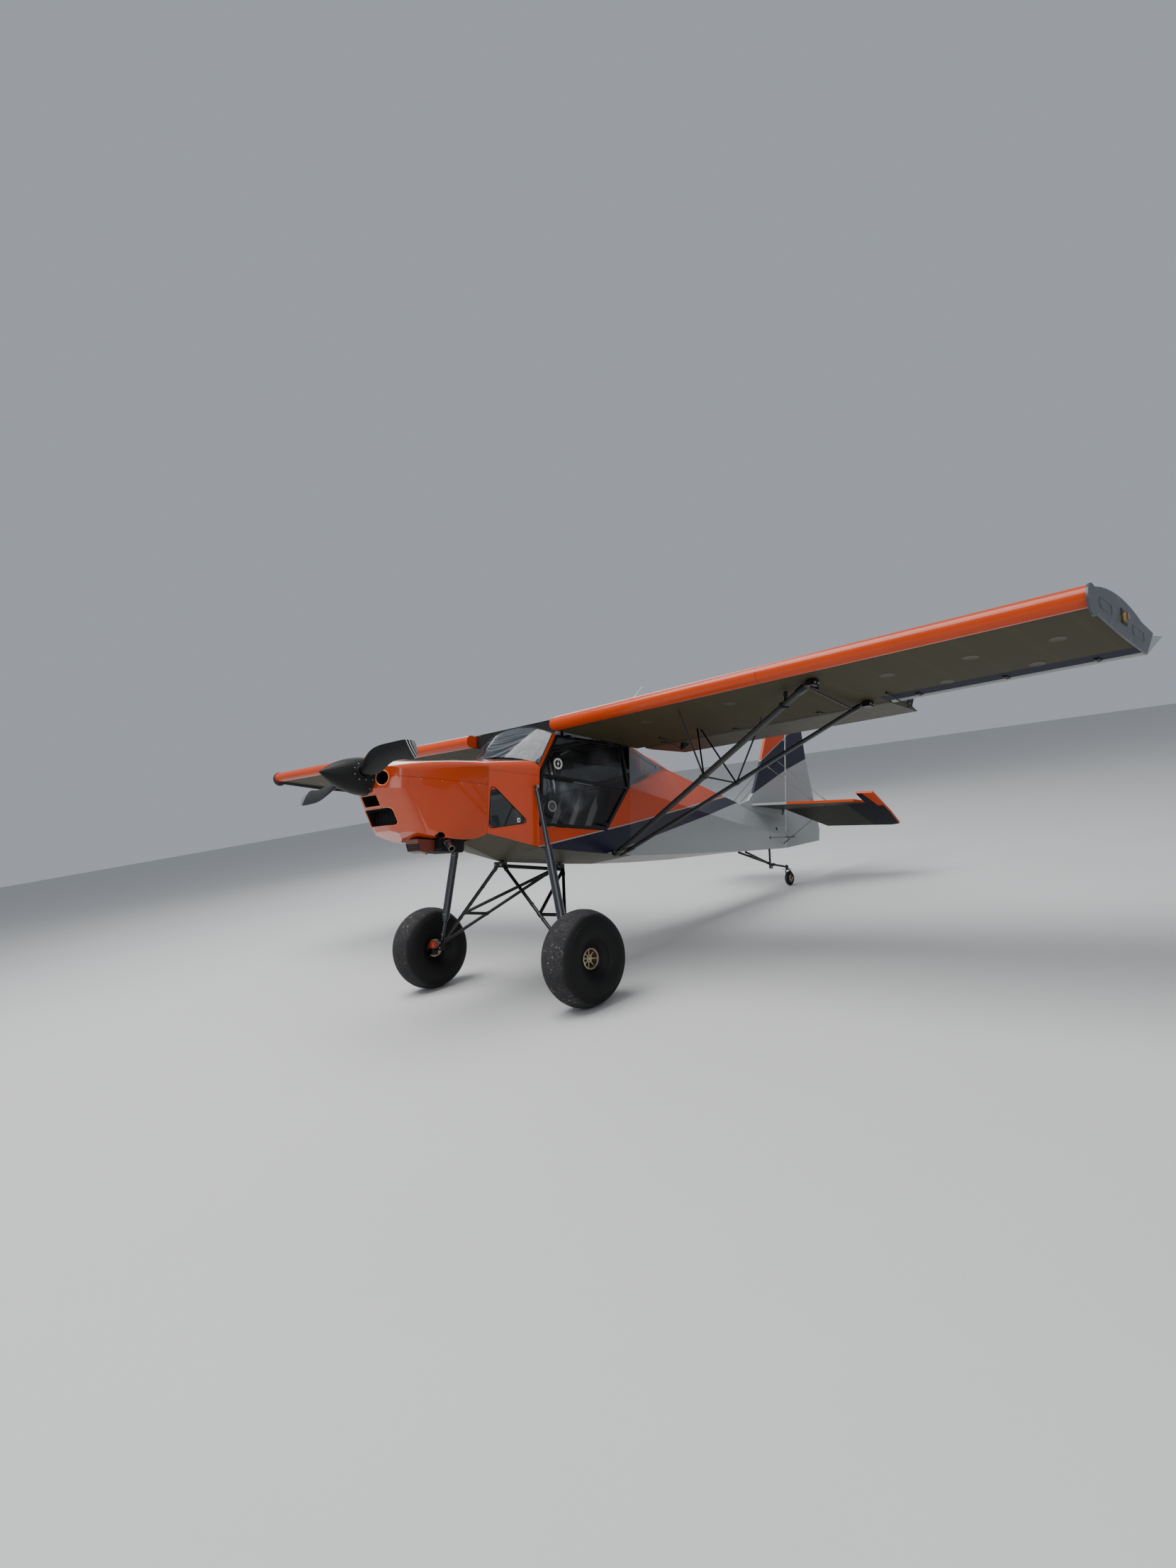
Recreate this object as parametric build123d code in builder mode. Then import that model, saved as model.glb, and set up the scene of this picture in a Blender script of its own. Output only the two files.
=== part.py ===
from build123d import *
from math import asin, atan2, cos, degrees, hypot, radians, sin
import os

# High-wing microlight aircraft with tall tyres, parked on its main and tail wheels.
# It is drawn in level flight: X forward from the firewall, Y to the left, Z up from the
# propeller shaft. Every finished piece is then turned nose up to the parked stance, with
# the ground at Z = 0 and the middle of the length at X = 0. Lengths are in millimetres.

# Wheels, which set the parked stance
MAIN_AXLE = (-430, 1060, -1388)
MAIN_RADIUS = 385
MAIN_TYRE_WIDTH = 330
RIM_RADIUS = 84
TAIL_AXLE = (-5054, 0, -660)
TAIL_RADIUS = 90

# Wing
WING_ROOT = 590
WING_TIP = 4750
WING_RISE = 72
ROOT_LEADING_EDGE = (-470, 550)
SPAR_REAR = -1588
AILERON_INNER = 3105
AILERON_OUTER = 4738
FLAP_INNER = 650
FLAP_OUTER = 3090
HINGE_X = -1655
HINGE_Z = 548
SURFACE_NOSE = 62
SURFACE_CHORD = 495
AILERON_PARKED = 25
TIP_PLATE = 12

# Propeller
SHAFT_Z = 22
PROPELLER_X = 1035
PROPELLER_RADIUS = 870
PROPELLER_CLOCK = 82
SPINNER_RADIUS = 150
SPINNER_BASE = 938
SPINNER_FLANGE = 898
SPINNER_TIP = 1331

# Cabin
SKIN = 4
GLASS = 3
FRAME_TUBE = 13
POST_X = -430
POST_WIDTH = 512
BAY_END = -1548
BAY_WIDTH = 527
CABIN_END = -2500

# Tail
FIN_THICK = 34
ELEVATOR_HINGE = (-4925, 205)
ELEVATOR_PARKED = 24
RUDDER_FOOT = (-4985, -283)
RUDDER_HEAD = (-5030, 1240)
RUDDER_NOSE = 18

# Parked stance: the pitch that puts the main and tail tyres on one level
wheel_base = MAIN_AXLE[0] - TAIL_AXLE[0]
wheel_drop = MAIN_AXLE[2] - TAIL_AXLE[2]
pitch = asin((MAIN_RADIUS - TAIL_RADIUS) / hypot(wheel_base, wheel_drop)) - atan2(wheel_drop, wheel_base)
ground_rise = MAIN_RADIUS - MAIN_AXLE[0] * sin(pitch) - MAIN_AXLE[2] * cos(pitch)
RUDDER_HEEL = -5778
length_middle = (SPINNER_TIP + RUDDER_HEEL) / 2 * cos(pitch)
PARKED = Location((-length_middle, 0, ground_rise), (0, -degrees(pitch), 0))

os.makedirs("parts", exist_ok=True)


def write(piece, label):
    """Name a piece, turn it to the parked stance and write it."""
    parked = piece.part.moved(PARKED)
    parked.label = label
    export_step(parked, f"parts/{label}.step")


def write_pair(piece, label):
    """Write a left-hand piece and its mirror image on the right."""
    write(piece, f"{label}_left")
    with BuildPart() as other:
        mirror(piece.part, about=Plane.XZ)
    write(other, f"{label}_right")


def write_both(piece, label):
    """Write a left-hand piece and its mirror image as one node."""
    with BuildPart() as both:
        add(piece.part)
        mirror(piece.part, about=Plane.XZ)
    write(both, label)


def cross_plane(x):
    """A plane across the fuselage, looking forward, with its X to the left and Y up."""
    return Plane(origin=(x, 0, 0), x_dir=(0, 1, 0), z_dir=(1, 0, 0))


def side_plane(y):
    """A plane along the fuselage, with its X forward and Y up."""
    return Plane(origin=(0, y, 0), x_dir=(1, 0, 0), z_dir=(0, -1, 0))


def bar(start, end, radius):
    """A round bar between two points."""
    run = Vector(*end) - Vector(*start)
    middle = (Vector(*start) + Vector(*end)) * 0.5
    with Locations(Plane(origin=middle, z_dir=run).location):
        Cylinder(radius, run.length)


def bars(routes, radius):
    """Round bars along several routes of points."""
    for route in routes:
        for start, end in zip(route, route[1:]):
            bar(start, end, radius)


def single_bars(routes, radius, gap):
    """Round bars between pairs of points, each stopping a gap short of its ends."""
    for start, end in routes:
        run = (Vector(*end) - Vector(*start)).normalized()
        bar(tuple(Vector(*start) + run * gap), tuple(Vector(*end) - run * gap), radius)


def rounded_frame(x, frame, inset=0):
    """A closed fuselage frame: flat sides, a shallow V belly and an arched deck."""
    half, low, keel, eave, crown, chine, bend = frame
    corners = [
        (half - inset, low + inset),
        (half - inset, eave - inset / 2),
        (0, crown - inset),
        (inset - half, eave - inset / 2),
        (inset - half, low + inset),
        (0, keel + inset),
    ]
    crest = bend * 2
    with BuildSketch(cross_plane(x)) as outline:
        with BuildLine():
            FilletPolyline(*corners, radius=[chine, bend, crest, bend, chine, crest], close=True)
        make_face()
    return outline.sketch


# Engine cowling, a shell between the firewall and the raked nose, split at the shaft
# x: half width, chine height, keel, eave, crown, chine radius, eave radius
COWL_BACK = 2
cowl_frames = {
    COWL_BACK: (360, -396, -432, 205, 256, 14, 60),
    450: (347, -440, -472, 165, 205, 30, 64),
    640: (320, -396, -488, 134, 182, 72, 68),
    930: (250, -334, -400, 66, 122, 84, 62),
}
COWL_SPLIT = 16
SEAM = 1
# the nose leans back from this height down, and the chin slopes on from the mouth's lip to the keel
RAKE_HEIGHT = -78
RAKE = Vector(0.518, 0, 1).normalized()
NOSE_FRONT = 930
CHIN = ((949, -300), (387, -600))
CHIN_NORMAL = (0.471, -0.882)
# round side inlets in soft cheeks that face a little outwards
CHEEK = Plane(origin=(900, 190, 0), x_dir=(0, 0, 1), z_dir=(0.887, 0.462, 0))
INLET_RADIUS = 54
INLET_LIP = 62


def nose_envelope(inset):
    """The cowling's outside, or the space inside its skin."""
    front = NOSE_FRONT - inset
    face = 100
    cheek_mid = (front - 55, 216 - inset)
    cheek_end = (front - 200, 298 - inset)
    with BuildPart() as plan_body:
        with BuildSketch(Plane.XY.offset(RAKE_HEIGHT)) as plan:
            with BuildLine():
                ThreePointArc((front, face), cheek_mid, cheek_end)
                Polyline(
                    cheek_end, (front - 240, 450), (-50, 450),
                    (-50, -450), (front - 240, -450), (cheek_end[0], -cheek_end[1]),
                )
                ThreePointArc((cheek_end[0], -cheek_end[1]), (cheek_mid[0], -cheek_mid[1]), (front, -face))
                Line((front, -face), (front, face))
            make_face()
        extrude(plan.sketch, amount=500)
        extrude(plan.sketch, amount=-700, dir=RAKE)
    with BuildPart() as envelope:
        loft([rounded_frame(x, frame, inset) for x, frame in cowl_frames.items()])
        add(plan_body.part, mode=Mode.INTERSECT)
        high, low = [(x - inset * CHIN_NORMAL[0], z - inset * CHIN_NORMAL[1]) for x, z in CHIN]
        with BuildSketch(side_plane(0)) as ramp:
            with BuildLine():
                Polyline(high, low, (1200, low[1]), (1200, high[1]), close=True)
            make_face()
        extrude(ramp.sketch, amount=500, both=True, mode=Mode.SUBTRACT)
    return envelope.part


cowl_space = nose_envelope(0)
with BuildPart() as cheek:
    with BuildSketch(CHEEK.offset(-130)):
        Circle(INLET_LIP + 26)
    with BuildSketch(CHEEK):
        Circle(INLET_LIP)
    loft()
with BuildPart() as inlet:
    with BuildSketch(CHEEK.offset(-160)):
        Circle(INLET_LIP + 18)
    with BuildSketch(CHEEK.offset(1)):
        Circle(INLET_RADIUS)
    loft()
with BuildPart() as nose:
    add(cowl_space)
    add(nose_envelope(SKIN), mode=Mode.SUBTRACT)
    add(cheek.part)
    mirror(cheek.part, about=Plane.XZ)
    add(inlet.part, mode=Mode.SUBTRACT)
    mirror(inlet.part, about=Plane.XZ, mode=Mode.SUBTRACT)
    # shaft opening, the oil-cooler slot and the wide lower mouth
    with BuildSketch(cross_plane(1000)):
        with Locations((0, SHAFT_Z)):
            Circle(80)
        with Locations((0, -166)):
            RectangleRounded(226, 84, 12)
        with Locations((0, -289)):
            RectangleRounded(398, 134, 36)
    extrude(amount=-400, mode=Mode.SUBTRACT)
    # the rear of the belly is open for the exhaust box
    with Locations((225, 0, -460)):
        Box(460, 620, 130, mode=Mode.SUBTRACT)
with BuildPart() as cowl_upper:
    add(nose.part)
    split(bisect_by=Plane.XY.offset(COWL_SPLIT + SEAM), keep=Keep.TOP)
write(cowl_upper, "cowl_upper")
with BuildPart() as cowl_lower:
    add(nose.part)
    split(bisect_by=Plane.XY.offset(COWL_SPLIT - SEAM), keep=Keep.BOTTOM)
    with Locations(Plane(origin=(450, 344, -446), z_dir=(-0.1, 1, -0.5)).location):
        Cylinder(40, 90, mode=Mode.SUBTRACT)
write(cowl_lower, "cowl_lower")

# Engine, one block with its gearbox nose, hung on the firewall by four tubes
with BuildPart() as engine:
    with Locations((390, 0, -130)):
        Box(460, 470, 320)
    with BuildSketch(cross_plane(600)):
        with Locations((0, SHAFT_Z)):
            Circle(62)
    extrude(amount=290)
    bars(
        (
            ((180, 200, 10), (0, 290, 60)),
            ((180, -200, 10), (0, -290, 60)),
            ((180, 200, -270), (0, 290, -340)),
            ((180, -200, -270), (0, -290, -340)),
        ),
        11,
    )
    split(bisect_by=cross_plane(0.5), keep=Keep.TOP)
write(engine, "engine")

# Exhaust box across the belly, with its tailpipe out to the left
PIPE_BORE = 21
PIPE_WALL = 3
with BuildPart() as exhaust:
    with Locations((310, 90, -490)):
        Box(250, 400, 120)
    fillet(exhaust.edges().filter_by(Axis.Y), 22)
    pipe = Plane(origin=(345, 200, -415), z_dir=(0.12, 0.72, -0.45))
    with BuildSketch(pipe):
        Circle(PIPE_BORE + PIPE_WALL)
    extrude(amount=225)
    with BuildSketch(pipe.offset(60)):
        Circle(PIPE_BORE)
    extrude(amount=200, mode=Mode.SUBTRACT)
write(exhaust, "exhaust")

# Radiator scoop under the nose, left of the middle
with BuildPart() as radiator:
    with BuildSketch(side_plane(240)):
        with BuildLine():
            Polyline((600, -460), (566, -556), (496, -566), (437, -545), (437, -460), close=True)
        make_face()
    extrude(amount=180)
    fillet(radiator.edges().filter_by(Axis.Y).group_by(Axis.Z)[0], 18)
    add(cowl_space, mode=Mode.SUBTRACT)
write(radiator, "radiator")

# Boot cowl between the firewall and the door posts, cut back under the windshield
boot_frames = {
    0: (360, -396, -430, 205, 256, 12, 60),
    POST_X: (POST_WIDTH, -497, -602, 250, 334, 12, 84),
}
with BuildPart() as firewall:
    extrude(rounded_frame(-4, boot_frames[0], SKIN + 1), amount=3)
write(firewall, "firewall")

FOOT_WINDOW = ((-24, 24), (-10, -346), (-336, -284))
SHIELD_FOOT = ((-424, 508, 229), (-250, 0, 309))
SHIELD_HEAD = ((-576, 505, 508), (-546, 0, 616))


def boot_shell(outer, inner):
    """The boot cowl's walls between two insets from its outside."""
    with BuildPart() as shell:
        loft([rounded_frame(x, frame, outer) for x, frame in boot_frames.items()], ruled=True)
        inside = [rounded_frame(x, frame, inner) for x, frame in boot_frames.items()]
        loft(inside, ruled=True, mode=Mode.SUBTRACT)
    return shell.part


with BuildPart() as boot_cowl:
    add(boot_shell(0, SKIN))
    # the belly is its own skin
    with BuildSketch(side_plane(0)):
        with BuildLine():
            Polyline(
                (10, -388), (POST_X, -491), (POST_X - 9, -491),
                (POST_X - 9, -700), (10, -700), close=True,
            )
        make_face()
    extrude(amount=600, both=True, mode=Mode.SUBTRACT)
    # the windshield's foot is a curve in plan
    (foot_side_x, foot_side_y, foot_side_z), (foot_mid_x, foot_mid_y, foot_mid_z) = SHIELD_FOOT
    with BuildSketch(Plane.XY.offset(206)):
        with BuildLine():
            ThreePointArc((foot_side_x, foot_side_y), (foot_mid_x, 0), (foot_side_x, -foot_side_y))
            Polyline(
                (foot_side_x, -foot_side_y), (-700, -foot_side_y),
                (-700, foot_side_y), (foot_side_x, foot_side_y),
            )
        make_face()
    extrude(amount=200, mode=Mode.SUBTRACT)
    with BuildSketch(side_plane(0)):
        with BuildLine():
            FilletPolyline(*FOOT_WINDOW, radius=[32, 36, 24], close=True)
        make_face()
    extrude(amount=600, both=True, mode=Mode.SUBTRACT)
write(boot_cowl, "boot_cowl")

with BuildPart() as foot_window:
    add(boot_shell(SKIN, SKIN + GLASS))
    with BuildSketch(side_plane(0)):
        with BuildLine():
            FilletPolyline(*FOOT_WINDOW, radius=[32, 36, 24], close=True)
        make_face()
        offset(amount=14)
    extrude(amount=-600, mode=Mode.INTERSECT)
    split(bisect_by=cross_plane(-6), keep=Keep.BOTTOM)
write_both(foot_window, "foot_windows")


def curved_strip(side, middle, thickness):
    """A thin arched strip across the cabin, through two side points and a middle point."""
    (side_x, side_y, side_z), (mid_x, mid_y, mid_z) = side, middle
    rise = Vector(mid_x - side_x, 0, mid_z - side_z)
    plane = Plane(origin=(side_x, 0, side_z), x_dir=(0, 1, 0), z_dir=Vector(0, 1, 0).cross(rise))
    with BuildSketch(plane) as strip:
        with BuildLine():
            ThreePointArc((side_y, 0), (0, rise.length), (-side_y, 0))
            Line((-side_y, 0), (thickness - side_y, -1))
            ThreePointArc((thickness - side_y, -1), (0, rise.length - thickness), (side_y - thickness, -1))
            Line((side_y - thickness, -1), (side_y, 0))
        make_face()
    return strip.sketch


with BuildPart() as windshield:
    loft([curved_strip(*SHIELD_FOOT, GLASS), curved_strip(*SHIELD_HEAD, GLASS)], ruled=True)
    add(boot_cowl.part, mode=Mode.SUBTRACT)
write(windshield, "windshield")

# Belly skin, a shallow V from the firewall to the rear bay
# x: half width, chine height, keel
belly_frames = {
    0: (360, -396, -448),
    POST_X: (POST_WIDTH, -497, -602),
    -1050: (520, -515, -600),
    BAY_END: (BAY_WIDTH, -523, -586),
}


def belly_strip(x, half, low, keel):
    """The belly's V cross section."""
    with BuildSketch(cross_plane(x)) as strip:
        with BuildLine():
            Polyline(
                (half, low), (0, keel), (-half, low),
                (-half, low + SKIN), (0, keel + SKIN), (half, low + SKIN), close=True,
            )
        make_face()
    return strip.sketch


with BuildPart() as belly:
    loft([belly_strip(x, *frame) for x, frame in belly_frames.items()], ruled=True)
write(belly, "belly")

# Side skins under and behind the doors. The side leans out a little towards the rear.
side_run = Vector(BAY_END - POST_X, BAY_WIDTH - POST_WIDTH, 0)
SIDE = Plane(origin=(POST_X, POST_WIDTH, 0), x_dir=side_run, z_dir=(side_run.Y, -side_run.X, 0))
# door outline as distances behind the door post and heights
DOOR_OUTLINE = ((12, -307), (809, -301), (1109, 123), (1009, 516), (186, 500), (34, 222), (12, 180))
DOOR_GAP = 6
PILLAR = ((1, 160), (1, 224), (152, 508), (180, 500), (28, 222), (6, 180), (6, 160))
with BuildPart() as side_panel:
    with BuildSketch(SIDE):
        with BuildLine():
            Polyline(
                (0, -491), (0, -307 - DOOR_GAP), (812, -301 - DOOR_GAP), (1109 + DOOR_GAP, 118),
                (1118, 118), (1118, -518), (620, -510), close=True,
            )
        make_face()
    # windshield pillar, the painted strip between the windshield and the door
    with BuildSketch(SIDE):
        with BuildLine():
            Polyline(*PILLAR, close=True)
        make_face()
    extrude(amount=-SKIN)
    add(boot_cowl.part, mode=Mode.SUBTRACT)
    add(windshield.part, mode=Mode.SUBTRACT)
write_both(side_panel, "side_panels")

# Rear cabin and rear fuselage frames: from the side, a turtle deck narrows to a ridge
# x: half width, chine height, keel, longeron height, deck corner, deck edge, crown
rear_frames = {
    BAY_END: (527, -523, -586, 116, (525, 134), (518, 528), 640),
    -2120: (445, -489, -553, 68, (272, 288), (246, 498), 628),
    CABIN_END: (391, -465, -523, 31, (92, 420), (82, 480), 548),
    -2720: (361, -451, -505, 10, (16, 452), (9, 462), 468),
    -3750: (213, -374, -392, -74, (14, 240), (8, 250), 255),
    -4300: (135, -333, -344, -105, (16, 128), (9, 138), 143),
    -4955: (22, -283, -288, -130, (20, 60), (10, 90), 96),
}


def deck_frame(x, frame, inset=0):
    """A rear frame with its longerons, deck corners and crown."""
    half, low, keel, longeron, corner, edge, crown = frame
    side = [
        (half - inset, low + inset),
        (half - inset, longeron - inset),
        (corner[0] - inset, corner[1] - inset),
        (edge[0] - inset, edge[1] - inset),
    ]
    other = [(-y, z) for y, z in reversed(side)]
    with BuildSketch(cross_plane(x)) as outline:
        with BuildLine():
            Polyline(*side, (0, crown - inset), *other, (0, keel + inset), close=True)
        make_face()
    return outline.sketch


def deck_body(stations, inset=0):
    """The solid between the rear frames at some stations."""
    with BuildPart() as body:
        loft([deck_frame(x, rear_frames[x], inset) for x in stations], ruled=True)
    return body.part


bay_stations = (BAY_END, -2120, CABIN_END)
tail_stations = (CABIN_END, -2720, -3750, -4300, -4955)
REAR_WINDOW = ((-1604, 480), (-1604, 176), (-2400, 442))
with BuildPart() as rear_cabin:
    add(deck_body(bay_stations))
    add(deck_body(bay_stations, SKIN), mode=Mode.SUBTRACT)
    with BuildSketch(side_plane(0)):
        with BuildLine():
            FilletPolyline(*REAR_WINDOW, radius=[26, 26, 12], close=True)
        make_face()
    extrude(amount=600, both=True, mode=Mode.SUBTRACT)
write(rear_cabin, "rear_cabin")

with BuildPart() as rear_window:
    add(deck_body(bay_stations, SKIN))
    add(deck_body(bay_stations, SKIN + GLASS), mode=Mode.SUBTRACT)
    with BuildSketch(side_plane(0)):
        with BuildLine():
            FilletPolyline(*REAR_WINDOW, radius=[26, 26, 12], close=True)
        make_face()
        offset(amount=12)
    extrude(amount=-600, mode=Mode.INTERSECT)
write_both(rear_window, "rear_windows")

with BuildPart() as rear_fuselage:
    add(deck_body(tail_stations))
    # clearance for the elevator's torque tube
    with Locations(Location((ELEVATOR_HINGE[0], 0, ELEVATOR_HINGE[1]), (90, 0, 0))):
        Cylinder(19, 400, mode=Mode.SUBTRACT)
write(rear_fuselage, "rear_fuselage")


def wing_height(y):
    """How far the wing has risen above its root at a span station."""
    return (y - WING_ROOT) / (WING_TIP - WING_ROOT) * WING_RISE


SPAN_DIRECTION = Vector(0, WING_TIP - WING_ROOT, WING_RISE).normalized()
nose_x, nose_z = ROOT_LEADING_EDGE
# fixed wing profile: arcs over the top, a nearly flat underside, cut off at the rear spar
WING_TOP = ((-560, 620), (-760, 674), (-1010, 688), (-1300, 668), (SPAR_REAR, 626))
WING_UNDER = ((SPAR_REAR, 488), (-560, 520))


with BuildPart() as wing:
    with BuildSketch(side_plane(WING_ROOT)):
        with BuildLine():
            ThreePointArc(WING_UNDER[1], (nose_x, nose_z), WING_TOP[0])
            ThreePointArc(WING_TOP[0], WING_TOP[1], WING_TOP[2])
            ThreePointArc(WING_TOP[2], WING_TOP[3], WING_TOP[4])
            Polyline(WING_TOP[4], WING_UNDER[0], WING_UNDER[1])
        make_face()
    extrude(amount=(WING_TIP - WING_ROOT) / SPAN_DIRECTION.Y, dir=SPAN_DIRECTION)
write_pair(wing, "wing")

# Flat end plate with its lamp knob
with BuildPart() as wing_tip:
    tip_up = WING_RISE
    with BuildSketch(side_plane(WING_TIP)):
        with BuildLine():
            ThreePointArc((-600, 488 + tip_up), (-450, 550 + tip_up), (-575, 631 + tip_up))
            ThreePointArc((-575, 631 + tip_up), (-954, 692 + tip_up), (-1500, 652 + tip_up))
            Polyline(
                (-1500, 652 + tip_up), (-1765, 640 + tip_up), (-1572, 466 + tip_up),
                (-1052, 468 + tip_up), (-600, 488 + tip_up),
            )
        make_face()
    extrude(amount=-TIP_PLATE)
    with BuildSketch(side_plane(WING_TIP + TIP_PLATE)):
        with Locations((-1107, 588 + tip_up)):
            Circle(30)
    extrude(amount=-26)
    fillet(wing_tip.edges().filter_by(GeomType.CIRCLE).sort_by(Axis.Y)[-1], 10)
write_pair(wing_tip, "wing_tip")


def control_surface(inner, outer, chord, turn):
    """A wing surface with a round nose on its hinge, turned trailing edge up about it."""
    hinge_z = HINGE_Z + wing_height(inner)
    droop = -58
    tail_half = 2
    nose_points = [
        (SURFACE_NOSE * cos(radians(angle)), SURFACE_NOSE * sin(radians(angle))) for angle in (107, 0, -86)
    ]
    section_plane = Plane(origin=(HINGE_X, inner, hinge_z), x_dir=(1, 0, 0), z_dir=SPAN_DIRECTION * -1)
    with BuildPart() as surface:
        with BuildSketch(section_plane):
            with BuildLine():
                lead = ThreePointArc(*nose_points)
                Polyline(lead @ 1, (-chord, droop - tail_half), (-chord, droop + tail_half), lead @ 0)
            make_face()
        extrude(amount=(inner - outer) / SPAN_DIRECTION.Y)
    hinge = Axis((HINGE_X, inner, hinge_z), SPAN_DIRECTION)
    return surface.part.rotate(hinge, turn)


with BuildPart() as flap:
    add(control_surface(FLAP_INNER, FLAP_OUTER, SURFACE_CHORD - 60, 0))
    # the inner end is cut back to clear the rear cabin
    with BuildSketch(Plane.XY.offset(300)):
        with BuildLine():
            Polyline((-1730, 600), (-1730, FLAP_INNER), (-2250, 810), (-2250, 600), close=True)
        make_face()
    extrude(amount=500, mode=Mode.SUBTRACT)
write_pair(flap, "flap")

with BuildPart() as aileron_left:
    add(control_surface(AILERON_INNER, AILERON_OUTER, SURFACE_CHORD, AILERON_PARKED))
write(aileron_left, "aileron_left")
with BuildPart() as aileron_right:
    mirror(control_surface(AILERON_INNER, AILERON_OUTER, SURFACE_CHORD, -AILERON_PARKED), about=Plane.XZ)
write(aileron_right, "aileron_right")

# Clear roof between the wing roots, on the wing's upper curve, with its end fairings
ROOF_HALF = WING_ROOT - 5
ROOF_FRONT = -580
with BuildPart() as skylight:
    with BuildSketch(side_plane(ROOF_HALF)):
        with BuildLine():
            ThreePointArc((ROOF_FRONT, 629), WING_TOP[1], WING_TOP[2])
            ThreePointArc(WING_TOP[2], WING_TOP[3], (BAY_END, 642))
            Line((BAY_END, 642), (BAY_END, 642 - SKIN))
            under = [(x, z - SKIN) for x, z in WING_TOP]
            ThreePointArc((BAY_END, 642 - SKIN), under[3], under[2])
            ThreePointArc(under[2], under[1], (ROOF_FRONT, 629 - SKIN))
            Line((ROOF_FRONT, 629 - SKIN), (ROOF_FRONT, 629))
        make_face()
    extrude(amount=2 * ROOF_HALF)
write(skylight, "skylight")

with BuildPart() as roof_fairing:
    with BuildSketch(cross_plane(ROOF_FRONT - 2)):
        with BuildLine():
            Polyline(
                (ROOF_HALF, 624), (ROOF_HALF, 528), (524, 512), (470, 530), (0, 614),
                (-470, 530), (-524, 512), (-ROOF_HALF, 528), (-ROOF_HALF, 624), close=True,
            )
        make_face()
    extrude(amount=-SKIN)
    with BuildSketch(cross_plane(BAY_END + 2)):
        with BuildLine():
            Polyline(
                (ROOF_HALF, 636), (ROOF_HALF, 500), (523, 500), (516, 534), (0, 634),
                (-516, 534), (-523, 500), (-ROOF_HALF, 500), (-ROOF_HALF, 636), close=True,
            )
        make_face()
    extrude(amount=SKIN)
write(roof_fairing, "roof_fairing")

# Welded cabin frame, with the two tubes that carry the wing spars through the roof
SPAR_FRONT = (-720, 606)
SPAR_BACK = (-1490, 590)
INNER = 476
sill = (-448, INNER, -480)
rear_sill = (-1500, INNER, -488)
belt = (-448, INNER, 200)
head = (-600, INNER, 496)
rear_head = (-1444, INNER, 504)
rear_elbow = (-1556, INNER, 118)
rear_low = (-1252, INNER, -312)
with BuildPart() as cabin_side:
    bars(
        (
            (sill, rear_sill, rear_elbow, rear_head, head, belt, sill),
            (rear_elbow, rear_low, (rear_low[0], INNER, -484)),
            ((SPAR_FRONT[0], INNER, 496), (SPAR_FRONT[0], INNER, SPAR_FRONT[1])),
            (rear_head, (SPAR_BACK[0], INNER, SPAR_BACK[1])),
        ),
        FRAME_TUBE,
    )
write_both(cabin_side, "cabin_sides")

with BuildPart() as cabin_cross_tubes:
    bow_top = (-606, 0, 560)
    bars(((head, bow_top, (head[0], -INNER, head[2])),), FRAME_TUBE)
    single_bars(
        (
            (rear_head, (rear_head[0], -INNER, rear_head[2])),
            ((-1000, INNER, 500), (-1000, -INNER, 500)),
            (sill, (sill[0], -INNER, sill[2])),
            (rear_sill, (rear_sill[0], -INNER, rear_sill[2])),
        ),
        FRAME_TUBE, 0,
    )
    single_bars(((bow_top, (rear_head[0], 0, rear_head[2])),), FRAME_TUBE, FRAME_TUBE + 4)
    for x, z in (SPAR_FRONT, SPAR_BACK):
        bar((x, 2 - WING_ROOT, z), (x, WING_ROOT - 2, z), 20)
    add(cabin_side.part, mode=Mode.SUBTRACT)
    mirror(cabin_side.part, about=Plane.XZ, mode=Mode.SUBTRACT)
write(cabin_cross_tubes, "cabin_cross_tubes")

# Braces between the firewall and the cabin frame, and the V behind the windshield
with BuildPart() as nose_brace:
    single_bars(
        (
            ((-6, 326, -373), sill),
            (belt, (-6, 326, 120)),
            ((-606, 20, 540), (-448, 460, 200)),
        ),
        FRAME_TUBE, 2,
    )
    add(cabin_side.part, mode=Mode.SUBTRACT)
    add(cabin_cross_tubes.part, mode=Mode.SUBTRACT)
    split(bisect_by=cross_plane(-6), keep=Keep.BOTTOM)
write_both(nose_brace, "nose_braces")

# Floor, with a toe board that rises to the firewall
FLOOR_Z = -462
with BuildPart() as cabin_floor:
    with BuildSketch(Plane.XY.offset(FLOOR_Z)):
        with BuildLine():
            Polyline(
                (-335, 400), (-466, 444), (-466, 462), (-1486, 462),
                (-1486, -462), (-466, -462), (-466, -444), (-335, -400), close=True,
            )
        make_face()
    extrude(amount=4)
    with BuildSketch(side_plane(300)):
        with BuildLine():
            Polyline((-334, FLOOR_Z), (-60, -404), (-60, -400), (-336, FLOOR_Z + 4), close=True)
        make_face()
    extrude(amount=600)
    for tubes in (cabin_side, cabin_cross_tubes, nose_brace):
        add(tubes.part, mode=Mode.SUBTRACT)
        mirror(tubes.part, about=Plane.XZ, mode=Mode.SUBTRACT)
write(cabin_floor, "cabin_floor")

# Two seats side by side
SEAT_Y = 248
SEAT_SIDE = ((-720, -457), (-720, -300), (-1130, -340), (-1330, 130), (-1400, 110), (-1230, -457))
with BuildPart() as seats:
    with BuildSketch(side_plane(SEAT_Y + 200)):
        with BuildLine():
            FilletPolyline(*SEAT_SIDE, radius=[30, 30, 60, 30, 20, 30], close=True)
        make_face()
    extrude(amount=400)
    mirror(about=Plane.XZ)
write(seats, "seats")

# Instrument panel with its glare shield
with BuildPart() as instrument_panel:
    with Locations((-478, 0, 110)):
        Box(20, 900, 190)
    with Locations((-420, 0, 206)):
        Box(150, 760, 8)
write(instrument_panel, "instrument_panel")

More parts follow.
